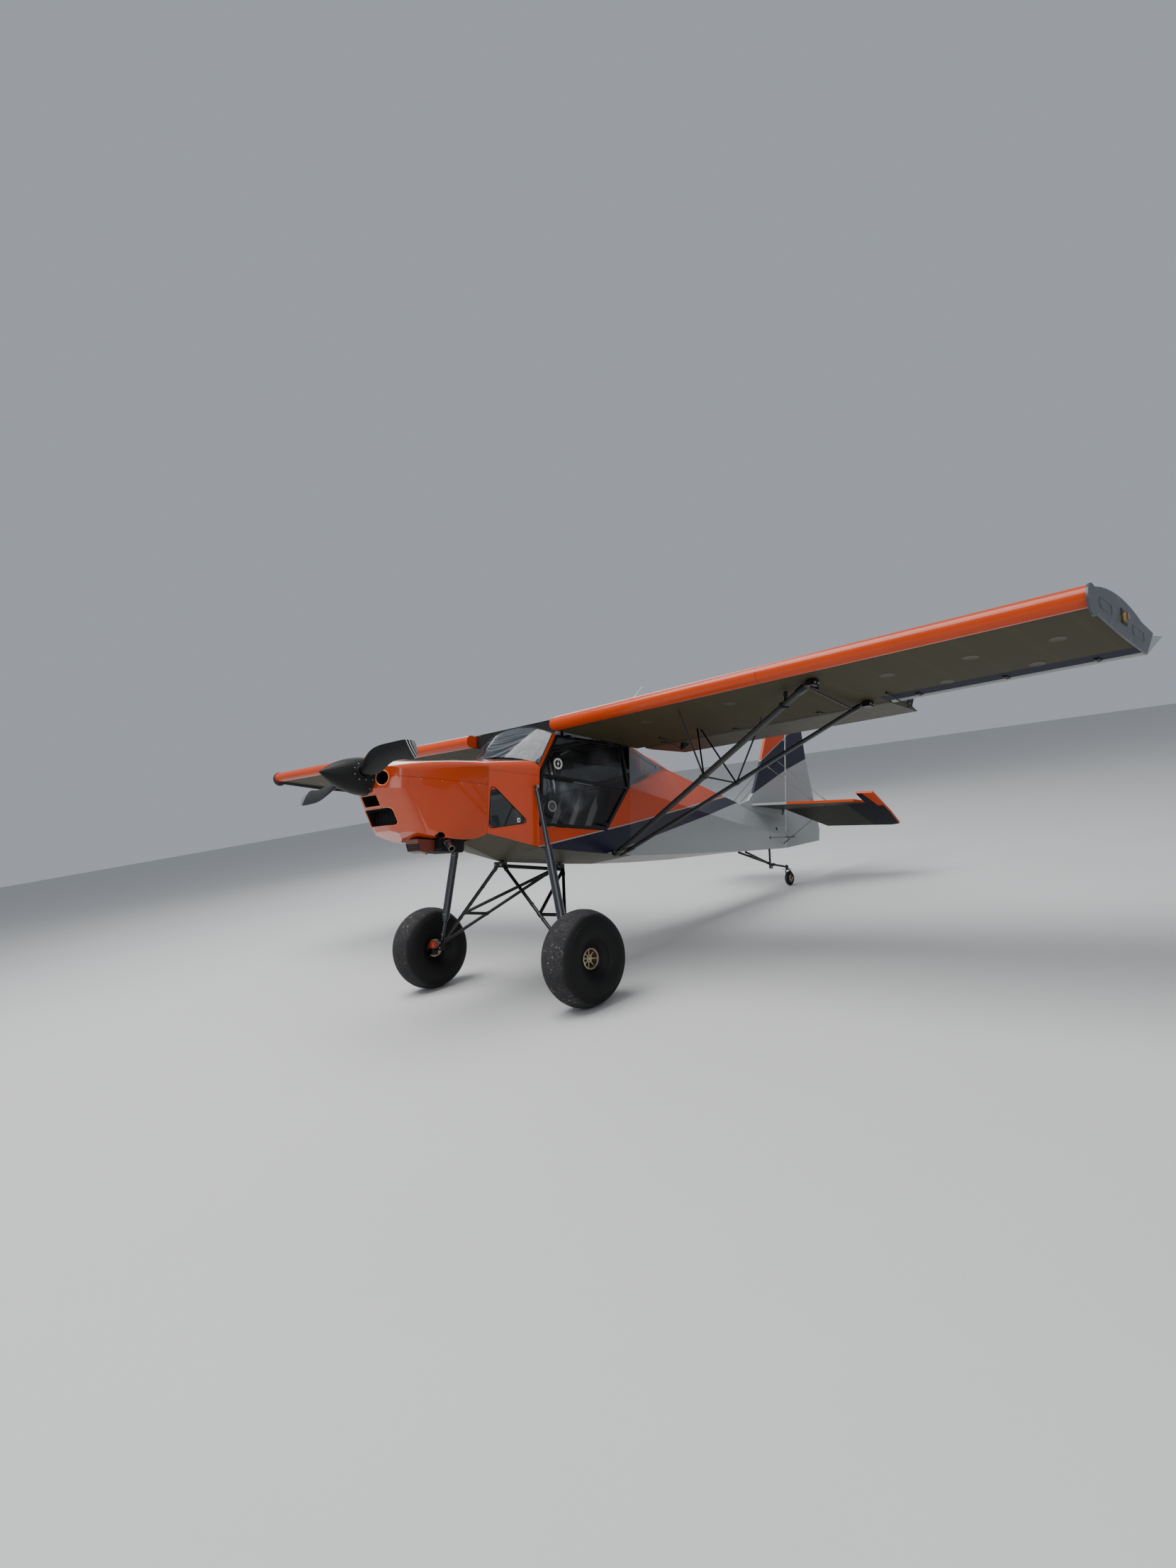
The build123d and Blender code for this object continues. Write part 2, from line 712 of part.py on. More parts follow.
# Two control sticks on their cross tube and the rudder pedals in front of them
with BuildPart() as controls:
    for side in (1, -1):
        bars((((-680, side * SEAT_Y, -457), (-670, side * SEAT_Y, -250), (-760, side * SEAT_Y, -60)),), 11)
        with Locations((-774, side * SEAT_Y, -30)):
            Cylinder(19, 110)
    bars((((-680, SEAT_Y, -440), (-680, -SEAT_Y, -440)),), 14)
    for y in (280, 150, -150, -280):
        bars((((-204, y, -422), (-150, y, -300)),), 9)
        with Locations(Location((-148, y, -270), (0, 20, 0))):
            Box(14, 70, 90)
write(controls, "controls")

# Lift struts and jury struts, from the lower longeron up to the two spars
FRONT_HEAD = (-720, 3000, 555)
REAR_HEAD = (-1490, 3000, 534)
FRONT_BACK = (-1337, 540, -524)
REAR_BACK = (-1404, 540, -524)
TIE_BORE = 9
LUG_THICK = 8
LUG_CENTRE = (-770, 2975, 530)
TIE_DOWN = (-798, 2975, 526)
TAIL_TIE_DOWN = (-4664, 0, -530)


def streamlined(start, end, chord, thick):
    """A strut with flat sides and round edges, its long axis fore and aft."""
    run = Vector(*end) - Vector(*start)
    with BuildSketch(Plane(origin=start, x_dir=(1, 0, 0), z_dir=run)) as oval:
        SlotOverall(chord, thick)
    extrude(oval.sketch, amount=run.length)


def along(start, end, share):
    """A point part of the way from start to end."""
    return tuple(a + (b - a) * share for a, b in zip(start, end))


with BuildPart() as lift_struts:
    streamlined(FRONT_BACK, FRONT_HEAD, 62, 30)
    streamlined(REAR_BACK, REAR_HEAD, 50, 26)
    add(wing.part, mode=Mode.SUBTRACT)
    add(side_panel.part, mode=Mode.SUBTRACT)
write_both(lift_struts, "lift_struts")

front_jury = along(FRONT_BACK, FRONT_HEAD, 0.52)
rear_jury = along(REAR_BACK, REAR_HEAD, 0.52)
with BuildPart() as jury_struts:
    single_bars(
        (
            (along(FRONT_BACK, FRONT_HEAD, 0.97), along(REAR_BACK, REAR_HEAD, 0.95)),
            ((-720, 1800, 550), front_jury),
            (front_jury, (-1345, 1500, 525)),
            ((-1385, 1500, 525), rear_jury),
            (rear_jury, (-1405, 2120, 535)),
            (front_jury, rear_jury),
        ),
        7, 12,
    )
    add(lift_struts.part, mode=Mode.SUBTRACT)
    add(wing.part, mode=Mode.SUBTRACT)
write_both(jury_struts, "jury_struts")

# Strut fittings: the foot on the longeron, plates at the heads and the tie-down lug
with BuildPart() as strut_fittings:
    with Locations((-1370, 541, -500)):
        Box(150, 20, 34)
    with Locations((FRONT_HEAD[0], 2990, 530), (REAR_HEAD[0], 2990, 508)):
        Box(70, 60, 40)
    with Locations(LUG_CENTRE):
        Box(100, LUG_THICK, 58)
    with Locations(Location(TIE_DOWN, (90, 0, 0))):
        Cylinder(TIE_BORE, 40, mode=Mode.SUBTRACT)
    for neighbour in (wing, side_panel, lift_struts, jury_struts):
        add(neighbour.part, mode=Mode.SUBTRACT)
write_both(strut_fittings, "strut_fittings")

# Fin
with BuildPart() as fin:
    with BuildSketch(side_plane(FIN_THICK / 2)):
        with BuildLine():
            Polyline(
                (-4000, 190), (-4190, 252), (-4290, 350), (-4470, 760),
                (-4609, 1141), (-5003, 1236), (-4966, 0), close=True,
            )
        make_face()
    extrude(amount=FIN_THICK)
    with Locations(Location((ELEVATOR_HINGE[0], 0, ELEVATOR_HINGE[1]), (90, 0, 0))):
        Cylinder(19, 400, mode=Mode.SUBTRACT)
    add(rear_fuselage.part, mode=Mode.SUBTRACT)
write(fin, "fin")

# Rudder, hinged on the leaning sternpost, with a round nose and a hollow-ground tail
with BuildPart() as rudder:
    with BuildSketch(side_plane(RUDDER_NOSE)):
        with BuildLine():
            Polyline(
                RUDDER_FOOT, RUDDER_HEAD, (-5273, 1292), (-5396, 1302),
                (-5487, 906), (RUDDER_HEEL, 0), (-5763, -152), close=True,
            )
        make_face()
    extrude(amount=2 * RUDDER_NOSE)
    bar((RUDDER_FOOT[0], 0, RUDDER_FOOT[1]), (RUDDER_HEAD[0], 0, RUDDER_HEAD[1]), RUDDER_NOSE)
write(rudder, "rudder")

# Stabiliser, one flat surface through the fin
with BuildPart() as stabiliser:
    with BuildSketch(Plane.XY.offset(ELEVATOR_HINGE[1] - 14)):
        with BuildLine():
            Polyline(
                (-4240, 0), (-4263, 58), (-4693, 1112), (-4898, 1112),
                (-4898, -1112), (-4693, -1112), (-4263, -58), close=True,
            )
        make_face()
    extrude(amount=28)
    add(fin.part, mode=Mode.SUBTRACT)
write(stabiliser, "stabiliser")

# Elevator, both halves on one torque tube, parked trailing edge down
with BuildPart() as elevator_level:
    with BuildSketch(Plane.XY.offset(ELEVATOR_HINGE[1] - 14)):
        for side in (1, -1):
            with BuildLine():
                Polyline(
                    (-4925, side * 60),
                    (-5250, side * 270),
                    (-5413, side * 382),
                    (-5486, side * 1200),
                    (-5470, side * 1300),
                    (-5200, side * 1322),
                    (-4720, side * 1322),
                    (-4700, side * 1128),
                    (-4925, side * 1128),
                    close=True,
                )
            make_face()
    extrude(amount=28)
    with Locations(Location((ELEVATOR_HINGE[0], 0, ELEVATOR_HINGE[1]), (90, 0, 0))):
        Cylinder(12, 2240)
hinge_line = Axis((ELEVATOR_HINGE[0], 0, ELEVATOR_HINGE[1]), (0, 1, 0))
with BuildPart() as elevator:
    add(elevator_level.part.rotate(hinge_line, -ELEVATOR_PARKED))
write(elevator, "elevator")

# Tail bracing wires
with BuildPart() as tail_bracing:
    for side in (1, -1):
        bars(
            (
                ((-4820, side * 18, 800), (-4860, side * 700, 218)),
                ((-4560, side * 18, 720), (-4640, side * 640, 218)),
                ((-4900, side * 22, -240), (-4860, side * 700, 192)),
            ),
            3,
        )
    for carrier in (fin, stabiliser, rear_fuselage):
        add(carrier.part, mode=Mode.SUBTRACT)
write(tail_bracing, "tail_bracing")

# Main gear legs: a braced A on each side, hinged under the keel
FRONT_HINGE = (-428, 40, -634)
REAR_HINGE = (-1117, 70, -650)
LEG_END = (-430, 852, -1335)
wheel_axis = Plane(origin=MAIN_AXLE, x_dir=(1, 0, 0), z_dir=(0, 1, 0))
with BuildPart() as gear_hinges:
    bars((((-400, 0, -634), (-1160, 0, -648)),), 17)
    for x, top in ((-428, -602.2), (-1117, -600.2)):
        with Locations((x, 0, top - 24)):
            Box(60, 110, 48)
write(gear_hinges, "gear_hinges")

with BuildPart() as gear_leg:
    front_mid = along(FRONT_HINGE, LEG_END, 0.6)
    rear_mid = along(REAR_HINGE, LEG_END, 0.6)
    bars(
        (
            (FRONT_HINGE, LEG_END),
            (REAR_HINGE, LEG_END),
            (front_mid, rear_mid),
            (front_mid, REAR_HINGE),
        ),
        15,
    )
    with Locations((-430, 868, -1362)):
        Box(46, 40, 90)
    with Locations(Location((-430, 960, -1388), (90, 0, 0))):
        Cylinder(19, 190)
    # brake caliper on the axle's inner end
    with BuildSketch(wheel_axis.offset(-150)):
        with Locations((48, 30)):
            RectangleRounded(70, 60, 10)
    extrude(amount=60)
    add(gear_hinges.part, mode=Mode.SUBTRACT)
    split(bisect_by=Plane.XZ.offset(-3), keep=Keep.BOTTOM)
write_pair(gear_leg, "gear_leg")

# Shock struts beside the cabin, thin rod over a thick spring body
SHOCK_HEAD = (-388, 522, 17)
SHOCK_END = (-430, 868, -1322)
with BuildPart() as shock_strut:
    bar(SHOCK_HEAD, SHOCK_END, 17)
    bar(along(SHOCK_HEAD, SHOCK_END, 0.02), along(SHOCK_HEAD, SHOCK_END, 0.40), 22)
    bar(along(SHOCK_HEAD, SHOCK_END, 0.38), along(SHOCK_HEAD, SHOCK_END, 0.84), 36)
    add(gear_leg.part, mode=Mode.SUBTRACT)
write_pair(shock_strut, "shock_strut")

# Wheels
with BuildPart() as tyre:
    with BuildSketch(Plane(origin=MAIN_AXLE, x_dir=(1, 0, 0), z_dir=(0, 0, 1))):
        with BuildLine():
            half = MAIN_TYRE_WIDTH / 2
            wall = [(RIM_RADIUS, 70), (130, 112), (190, half - 12), (258, half), (320, 140), (366, 84)]
            other_wall = [(radius, -y) for radius, y in reversed(wall)]
            Polyline(*wall, (MAIN_RADIUS, 26), (MAIN_RADIUS, -26), *other_wall, close=True)
        make_face()
    revolve(axis=Axis(MAIN_AXLE, (0, 1, 0)))
write_pair(tyre, "tyre")

SPOKES = 8
HUB_BORE = 19.1
with BuildPart() as rim:
    with BuildSketch(wheel_axis.offset(-74)):
        Circle(RIM_RADIUS)
        Circle(RIM_RADIUS - 12, mode=Mode.SUBTRACT)
    extrude(amount=152)
    with BuildSketch(wheel_axis.offset(40)):
        Circle(24)
        with PolarLocations(46, SPOKES):
            Rectangle(56, 11)
    extrude(amount=14)
    # brake disc on the inner side and the hub through the middle
    with BuildSketch(wheel_axis.offset(-84)):
        Circle(70)
    extrude(amount=5)
    with BuildSketch(wheel_axis.offset(-84)):
        Circle(30)
    extrude(amount=144)
    with BuildSketch(wheel_axis.offset(-94)):
        Circle(HUB_BORE)
    extrude(amount=142, mode=Mode.SUBTRACT)
write_pair(rim, "rim")

# Tail arm with its short spring leg
ARM_END = (-5000, 0, -520)
with BuildPart() as tail_arm:
    bars(
        (
            ((-4058, 50, -375), (-4640, 0, -496), ARM_END),
            ((-4058, -50, -375), (-4640, 0, -496)),
            ((-4625, 0, -316), (-4632, 0, -492)),
        ),
        13,
    )
    with Locations(Location(ARM_END, (0, degrees(pitch), 0))):
        Cylinder(20, 34)
    # tie-down lug at the arm's bend
    with Locations((TAIL_TIE_DOWN[0] + 14, 0, TAIL_TIE_DOWN[2] + 10)):
        Box(70, LUG_THICK, 62)
    with Locations(Location(TAIL_TIE_DOWN, (90, 0, 0))):
        Cylinder(TIE_BORE, 40, mode=Mode.SUBTRACT)
    add(rear_fuselage.part, mode=Mode.SUBTRACT)
write(tail_arm, "tail_arm")

upright = Vector(sin(pitch), 0, cos(pitch))
with BuildPart() as tail_fork:
    crown_top = Vector(*ARM_END) - upright * 18
    crown_low = Vector(*ARM_END) - upright * 36
    bar(tuple(crown_top), tuple(crown_low), 20)
    for side in (1, -1):
        shoulder = tuple(crown_low + Vector(0, side * 14, 0))
        elbow = tuple(crown_low + Vector(-20, side * 38, -14))
        bars(((shoulder, elbow, (TAIL_AXLE[0], side * 38, TAIL_AXLE[2])),), 7)
    with Locations(Location(TAIL_AXLE, (90, 0, 0))):
        Cylinder(7, 90)
write(tail_fork, "tail_fork")

with BuildPart() as tail_wheel:
    with BuildSketch(Plane(origin=TAIL_AXLE, x_dir=(1, 0, 0), z_dir=(0, 0, 1))):
        with BuildLine():
            Polyline(
                (7.1, -22), (7.1, 22), (50, 24), (78, 20), (TAIL_RADIUS, 8),
                (TAIL_RADIUS, -8), (78, -20), (50, -24), close=True,
            )
        make_face()
    revolve(axis=Axis(TAIL_AXLE, (0, 1, 0)))
write(tail_wheel, "tail_wheel")

# Propeller: a bored spinner and two broad twisted blades on one hub
blade_turn = radians(PROPELLER_CLOCK)
blade_axis = Vector(0, sin(blade_turn), cos(blade_turn))
with BuildPart() as spinner:
    with BuildSketch(Plane.XY.offset(SHAFT_Z)):
        with BuildLine():
            ThreePointArc((SPINNER_TIP, 0), (1130, 118), (1000, 149))
            Polyline(
                (1000, 149), (SPINNER_BASE, SPINNER_RADIUS), (SPINNER_BASE, 52),
                (SPINNER_FLANGE, 52), (SPINNER_FLANGE, 0), (SPINNER_TIP, 0),
            )
        make_face()
    revolve(axis=Axis((0, 0, SHAFT_Z), (1, 0, 0)))
    with Locations(Plane(origin=(PROPELLER_X, 0, SHAFT_Z), z_dir=blade_axis).location):
        Cylinder(54, 400, mode=Mode.SUBTRACT)
write(spinner, "spinner")

# radius, chord, thickness, pitch from the disc's plane, sweep towards the leading edge
blade_table = (
    (60, 84, 80, 55, 0),
    (160, 92, 50, 44, 0),
    (300, 168, 32, 34, 20),
    (450, 166, 22, 29, 42),
    (650, 142, 15, 26, 30),
    (PROPELLER_RADIUS, 70, 8, 16, 6),
)
with BuildPart() as propeller_blades:
    for turn in (0, 180):
        direction = blade_axis.rotate(Axis.X, turn)
        sections = []
        for radius, chord, thick, angle, sweep in blade_table:
            centre = Vector(PROPELLER_X, 0, SHAFT_Z) + direction * radius
            turning = Vector(1, 0, 0).cross(direction)
            chord_line = Vector(1, 0, 0) * sin(radians(angle)) + turning * cos(radians(angle))
            with BuildSketch(Plane(origin=centre, x_dir=chord_line, z_dir=direction)) as slice_outline:
                with BuildLine():
                    trail = (sweep - chord / 2, 0)
                    lead = (sweep + chord / 2, 0)
                    ThreePointArc(trail, (sweep, thick * 0.6), lead)
                    ThreePointArc(lead, (sweep, thick * -0.4), trail)
                make_face()
            sections.append(slice_outline.sketch)
        loft(sections)
    with Locations(Plane(origin=(PROPELLER_X, 0, SHAFT_Z), z_dir=blade_axis).location):
        Cylinder(40, 160)
write(propeller_blades, "propeller_blades")

# Doors: a tube-like ring with a middle rail, and its clear pane
DOOR_THICK = 18
DOOR_RIM = 24
# hinge line outside the door's top edge, its barrels in pairs of a moving and a fixed one
DOOR_HINGE_FRONT = (-616, 529, 490)
DOOR_HINGE_REAR = (-1439, 540, 506)
BARREL = 6
BARREL_LENGTH = 40
HINGE_SHARES = (0.2, 0.8)


def hinge_point(share, offset=0):
    """A point on the door's hinge line, with an offset to the rear along it."""
    run = Vector(*DOOR_HINGE_REAR) - Vector(*DOOR_HINGE_FRONT)
    return Vector(*DOOR_HINGE_FRONT) + run * share + run.normalized() * offset


with BuildPart() as door_frame:
    with BuildSketch(SIDE.offset(6)):
        with BuildLine():
            FilletPolyline(*DOOR_OUTLINE, radius=20, close=True)
        make_face()
        offset(amount=-DOOR_RIM, mode=Mode.SUBTRACT)
    extrude(amount=-DOOR_THICK)
    with BuildSketch(SIDE.offset(4)):
        with BuildLine():
            Polyline((20, 142), (20, 120), (1080, 96), (1080, 118), close=True)
        make_face()
    extrude(amount=-DOOR_THICK + 4)
    for share in HINGE_SHARES:
        bar(tuple(hinge_point(share)), tuple(hinge_point(share, BARREL_LENGTH)), BARREL)
        with Locations(tuple(hinge_point(share, BARREL_LENGTH / 2) - Vector(0, 5, 6))):
            Box(BARREL_LENGTH - 4, 10, 10)
write_pair(door_frame, "door_frame")

# Fixed hinge leaves, carried over the door's top edge to the roof tube
with BuildPart() as door_hinges:
    for share in HINGE_SHARES:
        start = hinge_point(share, -BARREL_LENGTH - 1)
        end = hinge_point(share, -1)
        middle = (start + end) * 0.5
        bar(tuple(start), tuple(end), BARREL)
        door_top = middle.Z + 10
        with Locations((middle.X, middle.Y, (middle.Z + door_top + 10) / 2)):
            Box(BARREL_LENGTH - 4, 4, door_top + 10 - middle.Z)
        with Locations((middle.X, (INNER + middle.Y + 2) / 2, door_top + 8)):
            Box(BARREL_LENGTH - 4, middle.Y + 2 - INNER, 4)
        with Locations((middle.X, INNER + 8, door_top - 1)):
            Box(BARREL_LENGTH - 4, 16, 20)
    add(cabin_side.part, mode=Mode.SUBTRACT)
write_both(door_hinges, "door_hinges")

with BuildPart() as door_glass:
    with BuildSketch(SIDE.offset(6 - DOOR_THICK)):
        with BuildLine():
            FilletPolyline(*DOOR_OUTLINE, radius=20, close=True)
        make_face()
        offset(amount=-8)
    extrude(amount=-GLASS)
write_pair(door_glass, "door_glass")
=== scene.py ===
from math import atan2, cos, pi, radians, sin, sqrt

import bmesh
import bpy
from mathutils import Matrix, Vector
from mathutils.bvhtree import BVHTree


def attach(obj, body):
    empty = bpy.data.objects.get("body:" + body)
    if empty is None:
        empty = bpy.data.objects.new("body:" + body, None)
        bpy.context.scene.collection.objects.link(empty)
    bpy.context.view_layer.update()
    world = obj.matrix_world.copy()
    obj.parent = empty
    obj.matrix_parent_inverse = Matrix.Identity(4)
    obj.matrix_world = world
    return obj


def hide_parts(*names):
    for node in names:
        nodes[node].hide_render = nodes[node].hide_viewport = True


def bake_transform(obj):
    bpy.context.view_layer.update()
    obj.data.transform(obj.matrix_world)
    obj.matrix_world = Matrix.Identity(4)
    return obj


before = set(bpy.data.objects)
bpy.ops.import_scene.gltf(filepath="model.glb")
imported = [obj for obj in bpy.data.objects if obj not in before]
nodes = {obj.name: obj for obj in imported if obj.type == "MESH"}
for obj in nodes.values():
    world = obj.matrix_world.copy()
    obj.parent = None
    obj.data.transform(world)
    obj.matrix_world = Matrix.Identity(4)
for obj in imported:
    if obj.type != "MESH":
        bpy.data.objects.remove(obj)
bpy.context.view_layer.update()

# The aircraft was drawn in level flight, in metres: x forward from the firewall, y to its left, z up.
# PARKED turns that drawing to the parked stance. All places below are in the drawing.
PITCH = radians(12.560422)
ORIGIN = Vector((2.170285, 0.0, 1.833293))
PARKED = Matrix.Translation(ORIGIN) @ Matrix.Rotation(-PITCH, 4, "Y")
DRAWN = PARKED.inverted()
# half the width of a painted edge
PAINT_EDGE = 0.0015


# Materials
class Net:
    """A small builder for one material's node tree."""

    def __init__(self, name):
        self.material = bpy.data.materials.new(name)
        self.material.use_nodes = True
        self.tree = self.material.node_tree
        self.tree.nodes.clear()
        self.shader = self.add("ShaderNodeBsdfPrincipled")
        self.tree.links.new(self.shader.outputs[0], self.add("ShaderNodeOutputMaterial").inputs[0])
        self.place = None

    def add(self, kind, **settings):
        node = self.tree.nodes.new(kind)
        for key, value in settings.items():
            setattr(node, key, value)
        return node

    def put(self, socket, value):
        """Link a socket or set a constant."""
        if isinstance(value, bpy.types.NodeSocket):
            self.tree.links.new(value, socket)
        elif isinstance(value, tuple) and len(value) == 3 and socket.type == "RGBA":
            socket.default_value = (*value, 1.0)
        else:
            socket.default_value = value
        return socket

    def set(self, **values):
        """Set the shader's own sockets by name, with _ for a space."""
        for key, value in values.items():
            self.put(self.shader.inputs[key.replace("_", " ")], value)
        return self

    def math(self, operation, a, b=0.0, c=0.0, clamp=False):
        node = self.add("ShaderNodeMath", operation=operation, use_clamp=clamp)
        for socket, value in zip(node.inputs, (a, b, c)):
            self.put(socket, value)
        return node.outputs[0]

    def times(self, a, b):
        return self.math("MULTIPLY", a, b)

    def plus(self, a, b):
        return self.math("ADD", a, b)

    def minus(self, a, b):
        return self.math("SUBTRACT", a, b)

    def size(self, value):
        """The value without its sign."""
        return self.math("ABSOLUTE", value)

    def gap(self, a, b):
        """How far apart two numbers are."""
        return self.size(self.minus(a, b))

    def length(self, a, b):
        """The length of a flat vector."""
        return self.math("SQRT", self.plus(self.times(a, a), self.times(b, b)))

    def mix(self, share, a, b):
        """A colour between a and b."""
        node = self.add("ShaderNodeMix", data_type="RGBA")
        self.put(node.inputs["Factor"], share)
        self.put(node.inputs[6], a)
        self.put(node.inputs[7], b)
        return node.outputs[2]

    def blend(self, share, a, b):
        """A number between a and b."""
        node = self.add("ShaderNodeMapRange")
        for key, value in (("Value", share), ("To Min", a), ("To Max", b)):
            self.put(node.inputs[key], value)
        return node.outputs[0]

    def step(self, value, start, end):
        """Rises smoothly from 0 at start to 1 at end."""
        node = self.add("ShaderNodeMapRange", interpolation_type="SMOOTHSTEP")
        self.put(node.inputs["Value"], value)
        self.put(node.inputs["From Min"], start)
        self.put(node.inputs["From Max"], end)
        return node.outputs[0]

    def drawing(self):
        """The point in the drawing's frame, as a vector socket."""
        if self.place is None:
            mapping = self.add("ShaderNodeMapping")
            self.put(mapping.inputs["Vector"], self.add("ShaderNodeTexCoord").outputs["Object"])
            mapping.inputs["Location"].default_value = Matrix.Rotation(PITCH, 3, "Y") @ -ORIGIN
            mapping.inputs["Rotation"].default_value = (0.0, PITCH, 0.0)
            self.place = mapping.outputs[0]
        return self.place

    def axes(self):
        """The drawing's x, y and z as sockets."""
        parts = self.add("ShaderNodeSeparateXYZ")
        self.put(parts.inputs[0], self.drawing())
        return parts.outputs

    def stretched(self, scale):
        """The drawing's point scaled by axis, for grain that runs one way."""
        node = self.add("ShaderNodeMapping")
        self.put(node.inputs["Vector"], self.drawing())
        node.inputs["Scale"].default_value = scale
        return node.outputs[0]

    def vector(self, x, y):
        node = self.add("ShaderNodeCombineXYZ")
        for socket, value in zip(node.inputs, (x, y)):
            self.put(socket, value)
        return node.outputs[0]

    def noise(self, scale, detail=3.0, roughness=0.5, vector=None):
        node = self.add("ShaderNodeTexNoise")
        self.put(node.inputs["Vector"], vector or self.drawing())
        self.put(node.inputs["Scale"], scale)
        self.put(node.inputs["Detail"], detail)
        self.put(node.inputs["Roughness"], roughness)
        return node.outputs[0]

    def waves(self, scale, direction):
        node = self.add("ShaderNodeTexWave", bands_direction=direction)
        self.put(node.inputs["Vector"], self.drawing())
        self.put(node.inputs["Scale"], scale)
        return node.outputs["Fac"]

    def weave(self, scale, other="Y"):
        """Threads that cross."""
        return self.times(self.waves(scale, "X"), self.waves(scale, other))

    def wander(self, scale, low, high):
        """A number that wanders between two values over the surface."""
        return self.blend(self.noise(scale, 3.0, 0.6), low, high)

    def facing_down(self, start, end):
        """Rises from 0 to 1 as the surface's normal turns down."""
        parts = self.add("ShaderNodeSeparateXYZ")
        self.put(parts.inputs[0], self.add("ShaderNodeNewGeometry").outputs["Normal"])
        return self.step(parts.outputs[2], start, end)

    def bump(self, height, strength, distance, normal=None):
        node = self.add("ShaderNodeBump")
        self.put(node.inputs["Height"], height)
        self.put(node.inputs["Strength"], strength)
        self.put(node.inputs["Distance"], distance)
        if normal is not None:
            self.put(node.inputs["Normal"], normal)
        return node.outputs[0]

    def below(self, x, z, line):
        """1 under a line of (x, z) points running aft, 0 over it, with one test for each run."""
        total = None
        for (x0, z0), (x1, z1) in zip(line, line[1:]):
            slope = (z1 - z0) / (x1 - x0)
            height = self.math("MULTIPLY_ADD", x, slope, z0 - slope * x0)
            total = height if total is None else self.math("MINIMUM", total, height)
        return self.step(self.minus(total, z), -PAINT_EDGE, PAINT_EDGE)


ORANGE = (0.52, 0.05, 0.003)
NAVY = (0.005, 0.006, 0.024)
PALE = (0.3, 0.316, 0.322)
# the light grey of the undersides, darkened to olive as painted shade
SHADED_GREY = (0.044, 0.038, 0.017)
BLACK = (0.006, 0.006, 0.007)
DUST = (0.13, 0.11, 0.08)
# distance of each seat's middle from the cabin's
SEAT_Y = 0.248


def shade_of(colour, factor, more=0.0):
    """The colour made lighter or darker."""
    return tuple(c * factor + more for c in colour)


def grime(net, colour, amount):
    """Faint dust and streaks over a colour."""
    broad = net.noise(1.6, 4.0, 0.6)
    fine = net.noise(38.0, 3.0, 0.6)
    streak = net.noise(5.0, 3.0, 0.6, net.stretched((0.5, 6.0, 1.0)))
    dust = net.times(net.step(broad, 0.42, 0.8), net.blend(net.step(fine, 0.3, 0.8), 0.5, 1.0))
    streak = net.times(net.step(streak, 0.55, 0.85), 0.35)
    dust = net.math("ADD", dust, streak, clamp=True)
    return net.mix(net.times(dust, amount), colour, DUST)


def painted(name, colour, roughness=0.22, coat=0.6, amount=0.2, weave=0.0):
    """Sprayed paint on metal, composite or doped fabric."""
    net = Net(name)
    shade = net.noise(2.2, 2.0, 0.5)
    body = net.mix(net.times(shade, 0.5), colour, shade_of(colour, 1.12, 0.003))
    net.set(Base_Color=grime(net, body, amount))
    net.set(Roughness=net.wander(14.0, roughness - 0.05, roughness + 0.12))
    net.set(Coat_Weight=coat, Coat_Roughness=0.08)
    peel = net.bump(net.noise(420.0, 1.0, 0.5), 0.05, 0.0004)
    if weave:
        peel = net.bump(net.weave(700.0), weave, 0.0003, peel)
    net.set(Normal=peel)
    return net.material


# Side view lines of the paint scheme, running aft
SWEEP_UPPER = ((-0.411, -0.497), (-2.682, 0.036), (-3.72, 0.25))
SWEEP_LOWER = ((-1.0, -0.512), (-3.02, -0.024), (-3.9, 0.218))
FIN_UPPER = ((-4.47, 0.76), (-5.26, 1.29))
FIN_LOWER = ((-4.272, 0.337), (-4.991, 0.7), (-5.487, 0.906))
PINSTRIPE = 0.01
# Quarter light: front and rear x, the front edge's low and high z, and the z of its rear tip
QUARTER_LIGHT = (-1.5, -2.6, 0.11, 0.515, 0.465)


